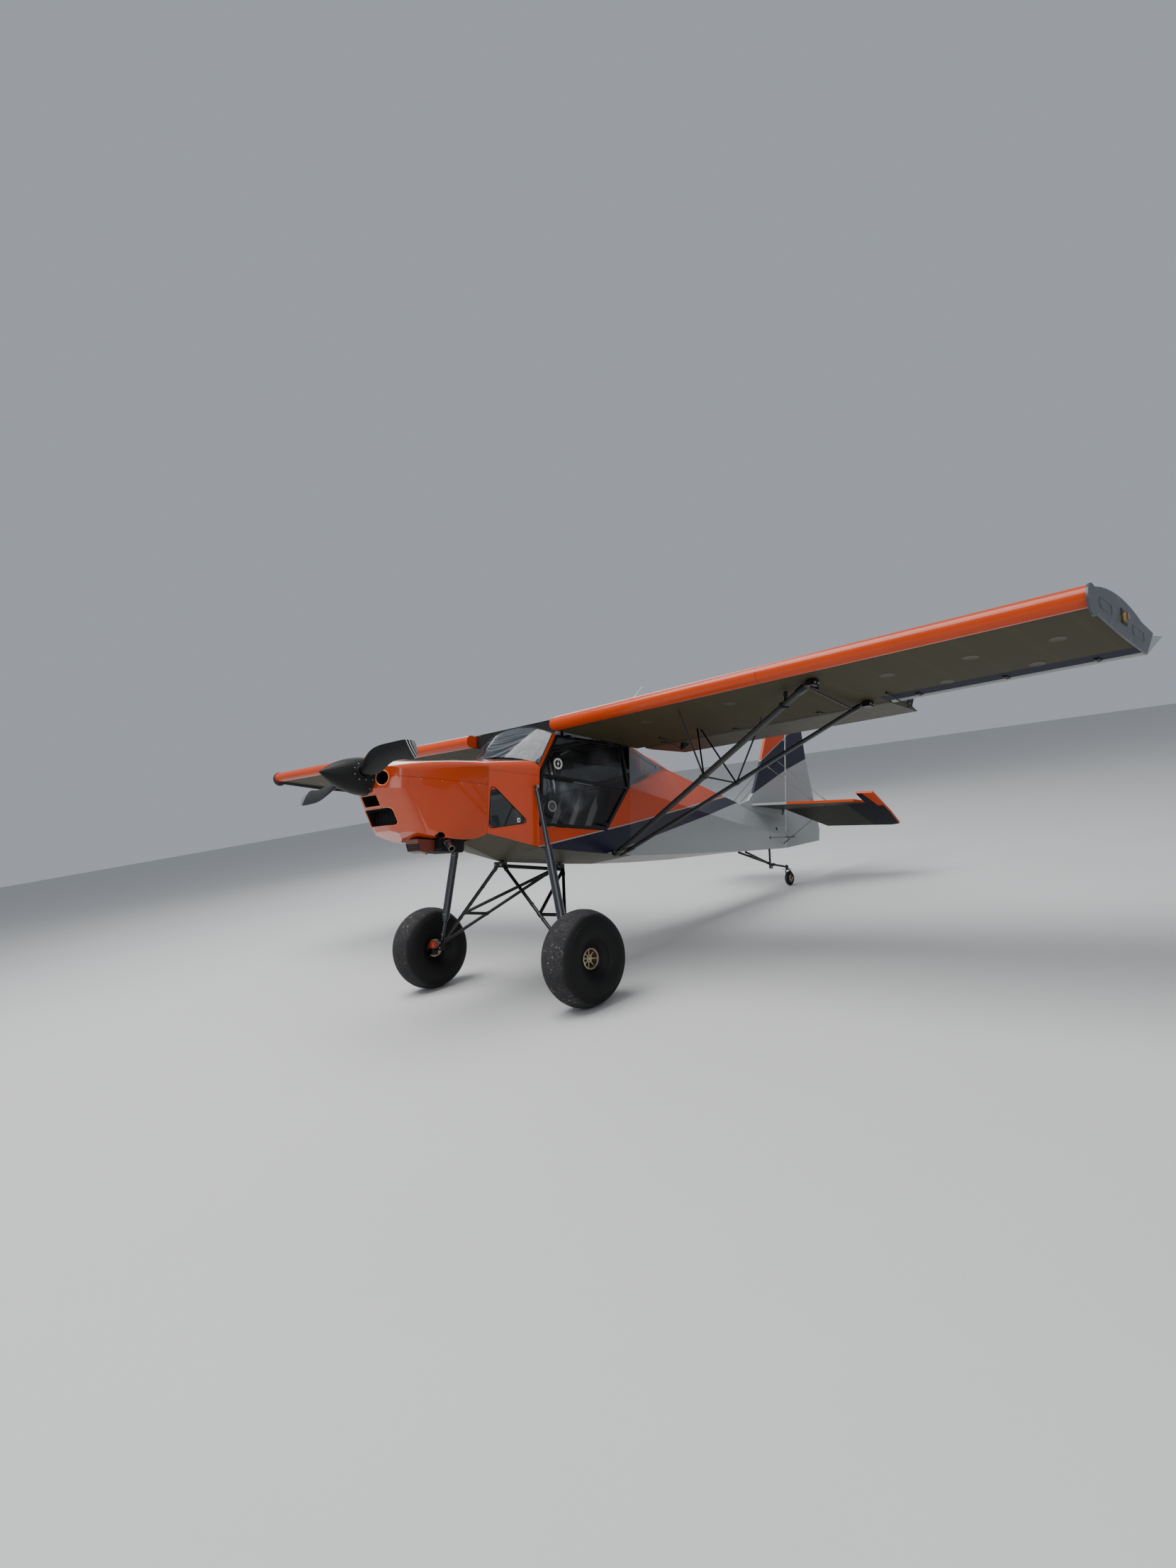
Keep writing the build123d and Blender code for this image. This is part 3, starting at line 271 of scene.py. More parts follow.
def livery(name, upper, lower, underside=True):
    """Orange over a navy band over light grey, with a pinstripe along the band's top.

    Surfaces facing down are painted a dark olive grey as painted shade. The fin has no grey underside but a
    white strip down its sternpost."""
    net = Net(name)
    x, y, z = net.axes()
    under_upper = net.below(x, z, upper)
    raised = tuple((px, pz + PINSTRIPE) for px, pz in upper)
    under_stripe = net.below(x, z, raised)
    under_lower = net.below(x, z, lower)
    orange = net.mix(net.noise(1.4, 2.0, 0.5), ORANGE, shade_of(ORANGE, 0.82))
    colour = net.mix(under_stripe, orange, (0.34, 0.3, 0.29))
    colour = net.mix(under_upper, colour, NAVY)
    colour = net.mix(under_lower, colour, PALE)
    if underside:
        # surfaces facing down: painted shade, dark olive grey over the light grey
        colour = net.mix(net.facing_down(-0.55, -0.75), colour, SHADED_GREY)
    else:
        post = net.plus(net.math("MULTIPLY_ADD", z, 0.03, 4.979), x)
        strip = net.step(net.size(post), 0.013, 0.011)
        colour = net.mix(strip, colour, (0.55, 0.56, 0.57))
    roughness = net.wander(9.0, 0.26, 0.42)
    # the cabin's quarter light reaches past its pane: there it is painted as smoked film, darkened with
    # painted shade for the dim cabin behind
    front, rear, low, high, tip = QUARTER_LIGHT
    film = net.times(net.step(x, rear - 0.01, rear), net.step(x, front + 0.001, front - 0.001))
    film = net.times(film, net.below(x, z, ((front, high), (rear, tip))))
    film = net.times(film, net.minus(1.0, net.below(x, z, ((front, low), (rear, tip)))))
    # the smoked tint, darkened with painted shade of the cabin behind the glass
    smoke = net.mix(net.noise(2.4, 2.0, 0.5), (0.03, 0.036, 0.045), (0.066, 0.075, 0.088))
    colour = net.mix(film, colour, smoke)
    net.set(Base_Color=grime(net, colour, 0.05), Specular_IOR_Level=0.32)
    net.set(Roughness=net.blend(film, roughness, 0.12))
    net.set(Coat_Weight=0.12, Coat_Roughness=0.1)
    sag = net.bump(net.noise(3.0, 2.0, 0.4), 0.12, 0.01)
    net.set(Normal=net.bump(net.weave(620.0, "Z"), 0.05, 0.0003, sag))
    return net.material


# Wing: x behind the nose skin, gap between ribs, the skin joint's y, and the aileron bay's x and y
NOSE_END, RIB_GAP, JOINT_Y, BAY_X, BAY_Y = -0.555, 0.32, 2.7, -1.447, 3.1


def wing_skin(name):
    """Doped fabric: orange over the nose and the top, grey below painted dark olive as painted shade, with
    rib tapes showing.
    """
    net = Net(name)
    x, y, z = net.axes()
    out = net.size(y)
    down = net.facing_down(-0.35, -0.55)
    aft = net.step(x, NOSE_END + 0.002, NOSE_END - 0.002)
    edge = net.step(net.gap(x, NOSE_END - 0.02), 0.01, 0.004)
    under = net.times(down, aft)
    # the light grey underside, darkened olive as painted shade
    grey = net.mix(net.noise(1.1, 3.0, 0.5), SHADED_GREY, shade_of(SHADED_GREY, 1.25))
    orange = net.mix(net.noise(1.7, 2.0, 0.5), ORANGE, shade_of(ORANGE, 0.86))
    rib = net.gap(net.math("FRACT", net.times(out, 1 / RIB_GAP)), 0.5)
    tape = net.step(rib, 0.09, 0.06)
    grey = net.mix(net.times(tape, 0.25), grey, shade_of(SHADED_GREY, 1.5))
    colour = net.mix(under, orange, grey)
    # dark sealing strip behind the nose skin, and the navy band along the aileron bay
    colour = net.mix(net.times(edge, down), colour, (0.03, 0.03, 0.025))
    band = net.times(net.step(x, BAY_X + 0.002, BAY_X - 0.002), net.step(out, BAY_Y - 0.003, BAY_Y + 0.003))
    colour = net.mix(net.times(band, down), colour, NAVY)
    seam = net.step(net.gap(out, JOINT_Y), 0.004, 0.002)
    seam = net.times(seam, net.step(x, -0.6, -0.59))
    colour = net.mix(net.times(seam, 0.7), colour, (0.08, 0.015, 0.005))
    net.set(Base_Color=grime(net, colour, 0.04), Specular_IOR_Level=0.2)
    net.set(Roughness=net.blend(under, 0.28, 0.6))
    net.set(Coat_Weight=net.blend(under, 0.35, 0.0), Coat_Roughness=0.12)
    sag = net.bump(net.math("POWER", rib, 2.0), 0.35, 0.006)
    lift = net.bump(tape, 0.3, 0.0006, sag)
    net.set(Normal=net.bump(net.weave(560.0), 0.05, 0.0003, lift))
    return net.material


def tail_surface(name):
    """Tailplane paint: grey inboard, a navy band, red-orange tips; the nose strip is white then orange.
    Underneath, the inboard grey is painted dark olive as painted shade.
    """
    net = Net(name)
    x, y, z = net.axes()
    side = net.size(y)
    down = net.facing_down(-0.3, -0.5)
    outward = net.math("MULTIPLY_ADD", x, 0.1925, side)
    navy = net.step(outward, -0.055, -0.052)
    tip = net.step(outward, 0.29, 0.293)
    # underneath: the inboard grey darkened olive as painted shade, then the navy band
    under = net.mix(navy, (0.03, 0.031, 0.024), (0.004, 0.004, 0.008))
    under = net.mix(net.times(tip, net.step(x, -5.0, -4.99)), under, ORANGE)
    over = net.mix(net.step(side, 0.4, 0.404), PALE, ORANGE)
    colour = net.mix(down, over, under)
    net.set(Base_Color=grime(net, colour, 0.02), Specular_IOR_Level=0.12)
    net.set(Roughness=net.wander(9.0, 0.26, 0.42))
    net.set(Coat_Weight=net.blend(down, 0.15, 0.0), Coat_Roughness=0.1)
    net.set(Normal=net.bump(net.weave(560.0), 0.05, 0.0003))
    return net.material


def glass(name, tint, alpha, film_share=0.12, roughness=0.04, corners=(), reach=0.05, fan=None):
    """A thin clear pane with faint wiping streaks, and black masks round some (x, z) corners."""
    net = Net(name)
    x, y, z = net.axes()
    dust = net.noise(3.0, 4.0, 0.6)
    streak = net.noise(2.2, 3.0, 0.55, net.stretched((1.0, 7.0, 1.2)))
    film = net.times(net.step(dust, 0.35, 0.85), net.step(streak, 0.42, 0.72))
    if fan:
        turn = net.math("ARCTAN2", net.minus(z, fan[1]), net.minus(x, fan[0]))
        rays = net.noise(1.0, 3.0, 0.6, net.vector(net.times(turn, 26.0), net.times(y, 0.6)))
        film = net.times(net.step(rays, 0.46, 0.7), net.blend(dust, 0.35, 1.0))
    colour = net.mix(film, tint, (0.38, 0.42, 0.46))
    opacity = net.blend(film, alpha, min(1.0, alpha + film_share))
    for corner_x, corner_z in corners:
        far = net.length(net.minus(x, corner_x), net.minus(z, corner_z))
        mask = net.step(far, reach + 0.001, reach - 0.001)
        colour = net.mix(mask, colour, BLACK)
        opacity = net.math("MAXIMUM", opacity, mask)
    net.set(Base_Color=colour, Alpha=opacity)
    net.set(Roughness=net.blend(film, roughness, roughness + 0.2), IOR=1.49)
    net.set(Specular_IOR_Level=0.8)
    return net.material


def rubber(name, axle, tread):
    """Tyre rubber round an axle at (x, z): dusty beyond the tread's radius, nearly black walls inside it."""
    net = Net(name)
    x, y, z = net.axes()
    reach = net.length(net.minus(x, axle[0]), net.minus(z, axle[1]))
    fine = net.noise(60.0, 5.0, 0.7)
    broad = net.noise(5.0, 3.0, 0.6)
    dirt = net.times(net.step(fine, 0.3, 0.72), net.blend(net.step(broad, 0.3, 0.7), 0.45, 1.0))
    clods = net.times(net.step(net.noise(30.0, 2.0, 0.6), 0.62, 0.7), net.step(broad, 0.5, 0.62))
    worn = net.mix(dirt, (0.016, 0.016, 0.018), (0.056, 0.055, 0.056))
    worn = net.mix(net.times(clods, 0.8), worn, (0.26, 0.2, 0.17))
    wall = net.mix(net.times(dirt, 0.3), (0.0028, 0.0028, 0.003), (0.01, 0.01, 0.011))
    edge = net.math("MULTIPLY_ADD", net.minus(broad, 0.5), 0.02, reach)
    on_tread = net.step(edge, tread - 0.012, tread + 0.012)
    net.set(Base_Color=net.mix(on_tread, wall, worn), Roughness=net.blend(on_tread, 0.6, 0.88))
    net.set(Specular_IOR_Level=0.25)
    lines = net.step(net.math("SINE", net.times(reach, 420.0)), 0.6, 1.0)
    ridges = net.times(lines, net.minus(1.0, on_tread))
    net.set(Normal=net.bump(net.plus(fine, net.times(ridges, 0.4)), 0.4, 0.0015))
    return net.material


def metal(name, colour, roughness, dirt=0.3):
    """Bare or plated metal with fine grain and handling marks."""
    net = Net(name)
    marks = net.noise(30.0, 4.0, 0.6)
    worn = net.mix(net.times(marks, dirt * 2), colour, shade_of(colour, 0.45))
    net.set(Base_Color=worn, Metallic=1.0)
    net.set(Roughness=net.blend(marks, roughness - 0.06, roughness + 0.18))
    net.set(Normal=net.bump(marks, 0.08, 0.0005))
    return net.material


def plastic(name, colour, roughness, grain=160.0, strength=0.12, gloss=0.5, dust=0.06):
    """Moulded or coated plastic with a fine grain."""
    net = Net(name)
    body = net.mix(net.noise(3.0, 3.0, 0.6), colour, shade_of(colour, 1.35, 0.001))
    net.set(Base_Color=grime(net, body, dust), Specular_IOR_Level=gloss)
    net.set(Roughness=net.wander(22.0, roughness - 0.06, roughness + 0.1))
    net.set(Normal=net.bump(net.noise(grain, 2.0, 0.5), strength, 0.0006))
    return net.material


def tube_paint(name):
    """Gloss black enamel on welded tube, chipped here and there."""
    net = Net(name)
    chips = net.step(net.noise(55.0, 4.0, 0.7), 0.72, 0.75)
    colour = net.mix(net.times(chips, 0.5), (0.003, 0.003, 0.0034), (0.12, 0.11, 0.1))
    net.set(Base_Color=grime(net, colour, 0.04), Specular_IOR_Level=0.35)
    net.set(Roughness=net.wander(20.0, 0.22, 0.4), Coat_Weight=0.15)
    net.set(Normal=net.bump(net.noise(90.0, 2.0, 0.5), 0.06, 0.0006))
    return net.material


def blade_finish(name):
    """Black blade with two light stripes and a grey tip, by distance from the shaft."""
    net = Net(name)
    x, y, z = net.axes()
    reach = net.length(y, z)
    tip = net.step(reach, 0.846, 0.848)
    first, second = (net.step(net.gap(reach, stripe), 0.0045, 0.0035) for stripe in (0.806, 0.832))
    base = net.mix(net.noise(4.0, 3.0, 0.6), (0.0028, 0.0028, 0.0032), (0.007, 0.0072, 0.008))
    colour = net.mix(tip, base, (0.16, 0.165, 0.17))
    colour = net.mix(net.math("MAXIMUM", first, second), colour, (0.46, 0.47, 0.47))
    net.set(Base_Color=grime(net, colour, 0.03), Specular_IOR_Level=0.25)
    net.set(Roughness=net.wander(16.0, 0.32, 0.5))
    net.set(Normal=net.bump(net.noise(60.0, 2.0, 0.5), 0.05, 0.0006))
    return net.material


def cowl_paint(name):
    """Gloss orange on the moulded cowl, darker brown-orange in patches low down: painted shade, with a
    little soot.
    """
    net = Net(name)
    x, y, z = net.axes()
    orange = net.mix(net.noise(1.8, 2.0, 0.5), ORANGE, shade_of(ORANGE, 0.84))
    # darker brown-orange patches low down: painted shade under the cowl, with some soot
    soot = net.times(net.step(z, -0.33, -0.5), net.step(net.noise(6.0, 4.0, 0.6), 0.4, 0.7))
    orange = net.mix(net.times(soot, 0.35), orange, (0.1, 0.035, 0.012))
    net.set(Base_Color=grime(net, orange, 0.16))
    net.set(Roughness=net.wander(12.0, 0.16, 0.3))
    net.set(Coat_Weight=0.8, Coat_Roughness=0.05)
    soft = net.bump(net.noise(5.0, 2.0, 0.4), 0.1, 0.006)
    net.set(Normal=net.bump(net.noise(380.0, 1.0, 0.5), 0.04, 0.0004, soft))
    return net.material


def cloth(name, colour, scale=420.0, striped=False):
    """Woven cloth, with the seats' grey panels if striped."""
    net = Net(name)
    weave = net.math("MAXIMUM", net.waves(scale, "Y"), net.waves(scale, "Z"))
    lighter = shade_of(colour, 1.5, 0.004)
    body = net.mix(net.noise(5.0, 3.0, 0.6), colour, lighter)
    colour = net.mix(net.times(weave, 0.15), body, lighter)
    if striped:
        # two grey panels up each seat back, coming to a point
        x, y, z = net.axes()
        away = net.gap(net.gap(net.size(y), SEAT_Y), 0.118)
        reach = net.math("MINIMUM", net.math("MULTIPLY_ADD", z, -0.34, 0.012), 0.04)
        panel = net.step(net.minus(reach, away), -0.001, 0.001)
        panel = net.times(panel, net.step(z, -0.262, -0.258))
        panel = net.times(panel, net.step(x, -1.12, -1.13))
        grey = net.mix(net.times(weave, 0.15), (0.4, 0.4, 0.385), (0.5, 0.5, 0.48))
        colour = net.mix(panel, colour, grey)
    net.set(Base_Color=colour, Roughness=0.92)
    net.set(Sheen_Weight=0.3, Sheen_Roughness=0.5)
    net.set(Normal=net.bump(weave, 0.12, 0.0008))
    return net.material


FOOT_CORNERS = ((-0.024, 0.01), (-0.016, -0.335), (-0.322, -0.286))
# Each look's key, slot and material, and the nodes that wear it
LOOKS = (
    ("cowl", "orange_paint", cowl_paint("cowl_orange"), "cowl_upper cowl_lower boot_cowl"),
    ("fuselage", "orange_paint", livery("fuselage_livery", SWEEP_UPPER, SWEEP_LOWER),
     "side_panels rear_cabin rear_fuselage"),
    ("fin", "orange_paint", livery("fin_livery", FIN_UPPER, FIN_LOWER, underside=False), "fin rudder"),
    ("wing", "wing_fabric", wing_skin("wing_fabric"), "wing_left wing_right"),
    ("tailplane", "orange_paint", tail_surface("tailplane_paint"), "stabiliser elevator"),
    ("orange", "orange_paint", painted("orange_trim", ORANGE), ""),
    # belly and flaps: light grey painted dark olive as painted shade
    ("underside", "light_grey_paint", painted("underside_shaded_grey", SHADED_GREY, 0.5, 0.05, 0.1, 0.05),
     "belly flap_left flap_right"),
    ("pale", "light_grey_paint", painted("light_grey_paint", PALE, 0.38, 0.15, 0.15, 0.05),
     "aileron_left aileron_right"),
    ("slate", "dark_grey_paint", painted("slate_paint", (0.036, 0.042, 0.058), 0.4, 0.15, 0.12),
     "wing_tip_left wing_tip_right"),
    ("shield", "clear_glass", glass("windshield_clear", (0.03, 0.04, 0.052), 0.4, 0.24, fan=(-0.6, 0.56)),
     "windshield"),
    ("pane", "clear_glass", glass("door_pane_clear", (0.006, 0.007, 0.008), 0.42, 0.05),
     "door_glass_left door_glass_right"),
    # foot windows: clear glass with a dark green veil of painted shade for the footwell behind
    ("foot_pane", "clear_glass",
     glass("foot_window_glass_and_shade", (0.01, 0.013, 0.011), 0.52, 0.05, 0.04, FOOT_CORNERS, 0.062),
     "foot_windows"),
    ("smoke", "smoked_glass", glass("smoked_pane", (0.1, 0.115, 0.14), 0.72, 0.1, 0.12), "rear_windows"),
    ("roof", "smoked_glass", glass("tinted_roof", (0.01, 0.011, 0.013), 0.62, 0.15, 0.08), "skylight"),
    ("rubber", "tyre_rubber", rubber("tyre_rubber", (-0.43, -1.388), 0.345), "tyre_left tyre_right"),
    ("tail_rubber", "tyre_rubber", rubber("tail_wheel_rubber", (-5.054, -0.66), 0.08), "tail_wheel"),
    ("tube", "black_tube", tube_paint("black_tube_enamel"),
     "cabin_sides cabin_cross_tubes nose_braces controls lift_struts jury_struts "
     "strut_fittings door_hinges gear_hinges gear_leg_left gear_leg_right tail_arm tail_fork "
     "door_frame_left door_frame_right"),
    ("rim", "rim_metal", metal("rim_metal", (0.5, 0.42, 0.3), 0.42), "rim_left rim_right"),
    ("steel", "bracing_steel", metal("plain_steel", (0.42, 0.42, 0.43), 0.35), ""),
    ("wire", "bracing_steel", metal("bracing_wire", (0.15, 0.15, 0.155), 0.42), "tail_bracing"),
    ("brass", "orange_paint", metal("brass_fastener", (0.62, 0.4, 0.14), 0.34), ""),
    ("pipe", "bracing_steel", metal("tailpipe_steel", (0.3, 0.27, 0.25), 0.38, dirt=0.45), ""),
    # near-black: soot on the exhaust, and painted shade inside the cowl's inlet ducts
    ("soot", "exhaust_black", plastic("soot_and_shade_black", (0.004, 0.0038, 0.0036), 0.65, gloss=0.25), "exhaust"),
    ("spinner", "spinner_black",
     plastic("spinner_black", (0.0022, 0.0022, 0.0024), 0.48, 220.0, 0.04, 0.22, 0.02), "spinner"),
    ("blade", "blade_black", blade_finish("blade_black"), "propeller_blades"),
    ("engine", "engine_metal", metal("engine_alloy", (0.22, 0.22, 0.23), 0.55, dirt=0.5), "engine firewall"),
    ("trim", "interior_grey", plastic("interior_plastic", (0.007, 0.007, 0.008), 0.6, gloss=0.25),
     "cabin_floor instrument_panel"),
    ("seat", "seat_fabric", cloth("seat_black_cloth", (0.014, 0.014, 0.016), striped=True), "seats"),
    ("white", "light_grey_paint", plastic("white_plastic", (0.5, 0.5, 0.48), 0.42), ""),
    ("vent_grey", "light_grey_paint", plastic("vent_grey", (0.16, 0.165, 0.16), 0.45), ""),
    # radiator scoop: its orange painted dark red-brown as painted shade
    ("scoop", "orange_paint", painted("scoop_shaded_orange", (0.11, 0.014, 0.003), 0.4, 0.3, 0.3), "radiator"),
    ("edge", "orange_paint", painted("orange_lip", (0.7, 0.13, 0.022), 0.3, 0.6, 0.15), ""),
    ("seam", "orange_paint", painted("seam_line", (0.2, 0.024, 0.004), 0.5, 0.1, 0.1), ""),
    ("gasket", "exhaust_black", plastic("black_rubber_trim", (0.004, 0.004, 0.0045), 0.55, gloss=0.25),
     "roof_fairing"),
    ("dark_steel", "black_tube", metal("blackened_steel", (0.075, 0.075, 0.08), 0.42, dirt=0.5), ""),
    ("core", "engine_metal", metal("cooler_core", (0.1, 0.1, 0.105), 0.55, dirt=0.5), ""),
    ("shock", "black_tube", painted("shock_body", (0.014, 0.017, 0.024), 0.24, 0.6, 0.06),
     "shock_strut_left shock_strut_right"),
    # inspection rings, a little lighter than the underside's painted shade
    ("ring_grey", "light_grey_paint", painted("ring_grey", shade_of(SHADED_GREY, 1.15), 0.5, 0.0, 0.05), ""),
    ("dial", "interior_grey", plastic("dial_face", (0.02, 0.022, 0.026), 0.25), ""),
    ("dial_glass", "clear_glass", plastic("lens_glass", (0.008, 0.009, 0.014), 0.08), ""),
    ("lamp", "light_grey_paint", plastic("lamp_lens", (0.72, 0.72, 0.7), 0.12), ""),
    ("webbing", "seat_fabric", cloth("belt_webbing", (0.05, 0.052, 0.058), 900.0), ""),
    ("red", "orange_paint", painted("brake_red", (0.42, 0.045, 0.018), 0.4, 0.2, 0.4), ""),
)
look, slot_of = {}, {}
for key, slot, made, names in LOOKS:
    look[key], slot_of[key] = made, slot
    for name in names.split():
        nodes[name].data.materials.clear()
        nodes[name].data.materials.append(made)


# Shapes
def finish_mesh(name, bm, material, body="fuselage", crease=35.0):
    """Turn a mesh from the drawing to the parked stance and hang it on its body."""
    mesh = bpy.data.meshes.new(name)
    bmesh.ops.recalc_face_normals(bm, faces=bm.faces)
    bm.to_mesh(mesh)
    bm.free()
    mesh.transform(PARKED)
    piece = bpy.data.objects.new(name, mesh)
    bpy.context.scene.collection.objects.link(piece)
    materials = material if isinstance(material, tuple) else (material,)
    for one in materials:
        mesh.materials.append(look[one])
    mesh.shade_smooth()
    mesh.set_sharp_from_angle(angle=radians(crease))
    if body:
        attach(piece, body)
    return piece


def skins(*names):
    """The skins of some nodes as one search tree in the drawing's frame."""
    points, faces = [], []
    for name in names:
        mesh = nodes[name].data
        start = len(points)
        points += [DRAWN @ v.co for v in mesh.vertices]
        faces += [[start + i for i in p.vertices] for p in mesh.polygons]
    return BVHTree.FromPolygons(points, faces)


def touch(tree, start, run, lift=0.0):
    """Where a line first meets a skin, and the skin's outward normal there."""
    run = Vector(run).normalized()
    place, normal, _, _ = tree.ray_cast(Vector(start), run)
    if place is None:
        raise RuntimeError(f"no skin from {tuple(start)} along {tuple(run)}")
    if normal.dot(run) > 0:
        normal = -normal
    return place + normal * lift, normal


def beside(tree, side, x, z, lift=0.0):
    """Where a line from one side meets a skin."""
    return touch(tree, (x, side, z), (0, -side, 0), lift)


def on_top(tree, x, y, lift=0.0):
    return touch(tree, (x, y, 1), (0, 0, -1), lift)


def beneath(tree, x, y, lift=0.0):
    """Where a line from just under the wing meets it."""
    return touch(tree, (x, y, 0.2), (0, 0, 1), lift)


def add_rings(bm, rings, closed=False, slot=0):
    """Faces between rings of vertices, with both ends closed unless the rings join up."""
    made = []
    pairs = list(zip(rings, rings[1:])) + ([(rings[-1], rings[0])] if closed else [])
    for a, b in pairs:
        for k in range(max(len(a), len(b))):
            m = (k + 1) % max(len(a), len(b))
            if len(a) == 1:
                made.append(bm.faces.new((a[0], b[m], b[k])))
            elif len(b) == 1:
                made.append(bm.faces.new((a[k], a[m], b[0])))
            else:
                made.append(bm.faces.new((a[k], a[m], b[m], b[k])))
    if not closed:
        made += [bm.faces.new(ring) for ring in (rings[0][::-1], rings[-1]) if len(ring) > 2]
    for face in made:
        face.material_index = slot
    return made


def circle(centre, normal, radius, count, start=0.0):
    """Points round a circle."""
    normal = Vector(normal).normalized()
    side = normal.orthogonal().normalized()
    up = normal.cross(side)
    turn = [start + 2 * pi * k / count for k in range(count)]
    return [Vector(centre) + (side * cos(t) + up * sin(t)) * radius for t in turn]


def add_tube(bm, points, radius, segments=12, closed=False, slot=0):
    """A round tube along points, its rings turned smoothly from one to the next."""
    points = [Vector(p) for p in points]
    count = len(points)
    flat = Vector()
    for p, q in zip(points, points[1:]):
        flat += (p - points[0]).cross(q - points[0])
    rings = []
    side = None
    for i, point in enumerate(points):
        before = points[i - 1] if i or closed else point
        after = points[(i + 1) % count] if i < count - 1 or closed else point
        run = (after - before).normalized()
        side = run.cross(flat) if closed else side or run.orthogonal()
        side = (side - run * side.dot(run)).normalized()
        up = run.cross(side)
        size = radius[i] if isinstance(radius, (list, tuple)) else radius
        turn = [2 * pi * k / segments for k in range(segments)]
        rings.append([bm.verts.new(point + (side * cos(t) + up * sin(t)) * size) for t in turn])
    add_rings(bm, rings, closed, slot)


def add_lathe(bm, profile, origin, axis, segments=24, slot=0):
    """Turn a profile of (radius, height) about an axis. A profile that ends where it starts is a ring."""
    loop = profile[0] == profile[-1]
    rings = []
    for radius, height in profile[:-1] if loop else profile:
        base = Vector(origin) + Vector(axis).normalized() * height
        points = [base] if radius < 1e-6 else circle(base, axis, radius, segments)
        rings.append([bm.verts.new(p) for p in points])
    add_rings(bm, rings, loop, slot)


def add_screw(bm, place, normal, radius=0.005, height=0.0022, slot=0, segments=10):
    """A low domed fastener head standing on a surface."""
    dome = ((radius, -height), (radius, height * 0.35), (radius * 0.72, height * 0.85), (0.0, height))
    add_lathe(bm, dome, place, normal, segments, slot)


def add_bolt(bm, place, normal, radius=0.009, height=0.007, slot=0):
    """A six-sided bolt head on a round washer."""
    washer = ((radius * 1.35, -0.001), (radius * 1.35, 0.0016), (radius * 1.2, 0.002), (0.0, 0.002))
    head = ((radius, 0.001), (radius, height * 0.8), (radius * 0.82, height), (0.0, height))
    add_lathe(bm, washer, place, normal, 18, slot)
    add_lathe(bm, head, place, normal, 6, slot)


def add_slab(bm, outline, thickness):
    """A flat slab from an outline, pushed along a vector."""
    add_rings(bm, [[bm.verts.new(Vector(p) + Vector(thickness) * t) for p in outline] for t in (0, 1)])


def add_block(bm, centre, size, along=(1, 0, 0), up=(0, 0, 1), bevel=0.003, slot=0):
    """A block with rounded edges, its length along one direction and its top facing another."""
    x = Vector(along).normalized()
    z = (Vector(up) - x * x.dot(Vector(up))).normalized()
    turn = Matrix((x, z.cross(x), z)).transposed().to_4x4()
    before = set(bm.faces)
    scale = Matrix.Diagonal((*size, 1.0))
    made = bmesh.ops.create_cube(bm, size=1.0, matrix=Matrix.Translation(centre) @ turn @ scale)
    edges = list(dict.fromkeys(e for v in made["verts"] for e in v.link_edges))
    bmesh.ops.bevel(bm, geom=edges, offset=bevel, segments=2, affect="EDGES", profile=0.5)
    for face in set(bm.faces) - before:
        face.material_index = slot


def arc(start, middle, end, count):
    """Points along the arc through three points."""
    a, m, b = Vector(start), Vector(middle), Vector(end)
    normal = (m - a).cross(b - a).normalized()
    u, v = m - a, b - a
    w = u.cross(v)
    centre = a + (w.cross(u) * v.length_squared + v.cross(w) * u.length_squared) / (2 * w.length_squared)
    x = a - centre
    y = normal.cross(x)
    sweep = atan2((b - centre).dot(y), (b - centre).dot(x)) % (2 * pi)
    return [centre + x * cos(sweep * k / count) + y * sin(sweep * k / count) for k in range(count + 1)]


def rounded(corners, radius, per=5):
    """A closed outline of flat points with its corners rounded."""
    out = []
    count = len(corners)
    for i, corner in enumerate(corners):
        p = Vector(corner)
        back = (Vector(corners[i - 1]) - p).normalized()
        ahead = (Vector(corners[(i + 1) % count]) - p).normalized()
        half = back.angle(ahead) / 2
        reach = radius / sin(half) * cos(half)
        a, b = p + back * reach, p + ahead * reach
        for k in range(per + 1):
            t = k / per
            out.append(a * (1 - t) ** 2 + p * (2 * t * (1 - t)) + b * t ** 2)
    return out


def corners_of(x, z, half_x, half_z):
    """The four corners of a flat rectangle."""
    return [(x + half_x * a, z + half_z * b) for a, b in ((1, 1), (-1, 1), (-1, -1), (1, -1))]


def spaced(corners, gap):
    """Points at even steps round a closed line."""
    points = [Vector(p) for p in (*corners, corners[0])]
    total = sum((b - a).length for a, b in zip(points, points[1:]))
    count = round(total / gap)
    marks = [total * k / count for k in range(count)]
    out, done = [], 0.0
    for a, b in zip(points, points[1:]):
        length = (b - a).length
        while marks and marks[0] <= done + length + 1e-9:
            out.append(a.lerp(b, (marks.pop(0) - done) / length if length else 0.0))
        done += length
    return out


def mirrored(place, side):
    return Vector((place[0], place[1] * side, place[2]))


def along(start, end, share):
    return Vector(start).lerp(Vector(end), share)


def toward(start, end):
    return (Vector(end) - Vector(start)).normalized()


SIDES = (("left", 1), ("right", -1))
cowl = skins("cowl_upper", "cowl_lower")
boot = skins("boot_cowl")

# Cowl fasteners, along the split and down the firewall seam
SPLIT_Z, SEAM_X = 0.004, 0.022
# radius and height of the screws' heads
COWL_SCREW, SMALL_SCREW = (0.0058, 0.0026), (0.0042, 0.002)
split = [(x, SPLIT_Z) for x in (0.812, 0.634, 0.45, 0.269, 0.095)]
seam = [(SEAM_X, z) for z in (0.067, -0.071, -0.205, -0.342)]
bm = bmesh.new()
for name, side in SIDES:
    for x, z in split + seam:
        add_screw(bm, *beside(cowl, side, x, z), *COWL_SCREW)
for y in (-0.24, -0.08, 0.08, 0.24):
    add_screw(bm, *on_top(cowl, SEAM_X, y), *COWL_SCREW)
finish_mesh("cowl_fasteners", bm, "brass")

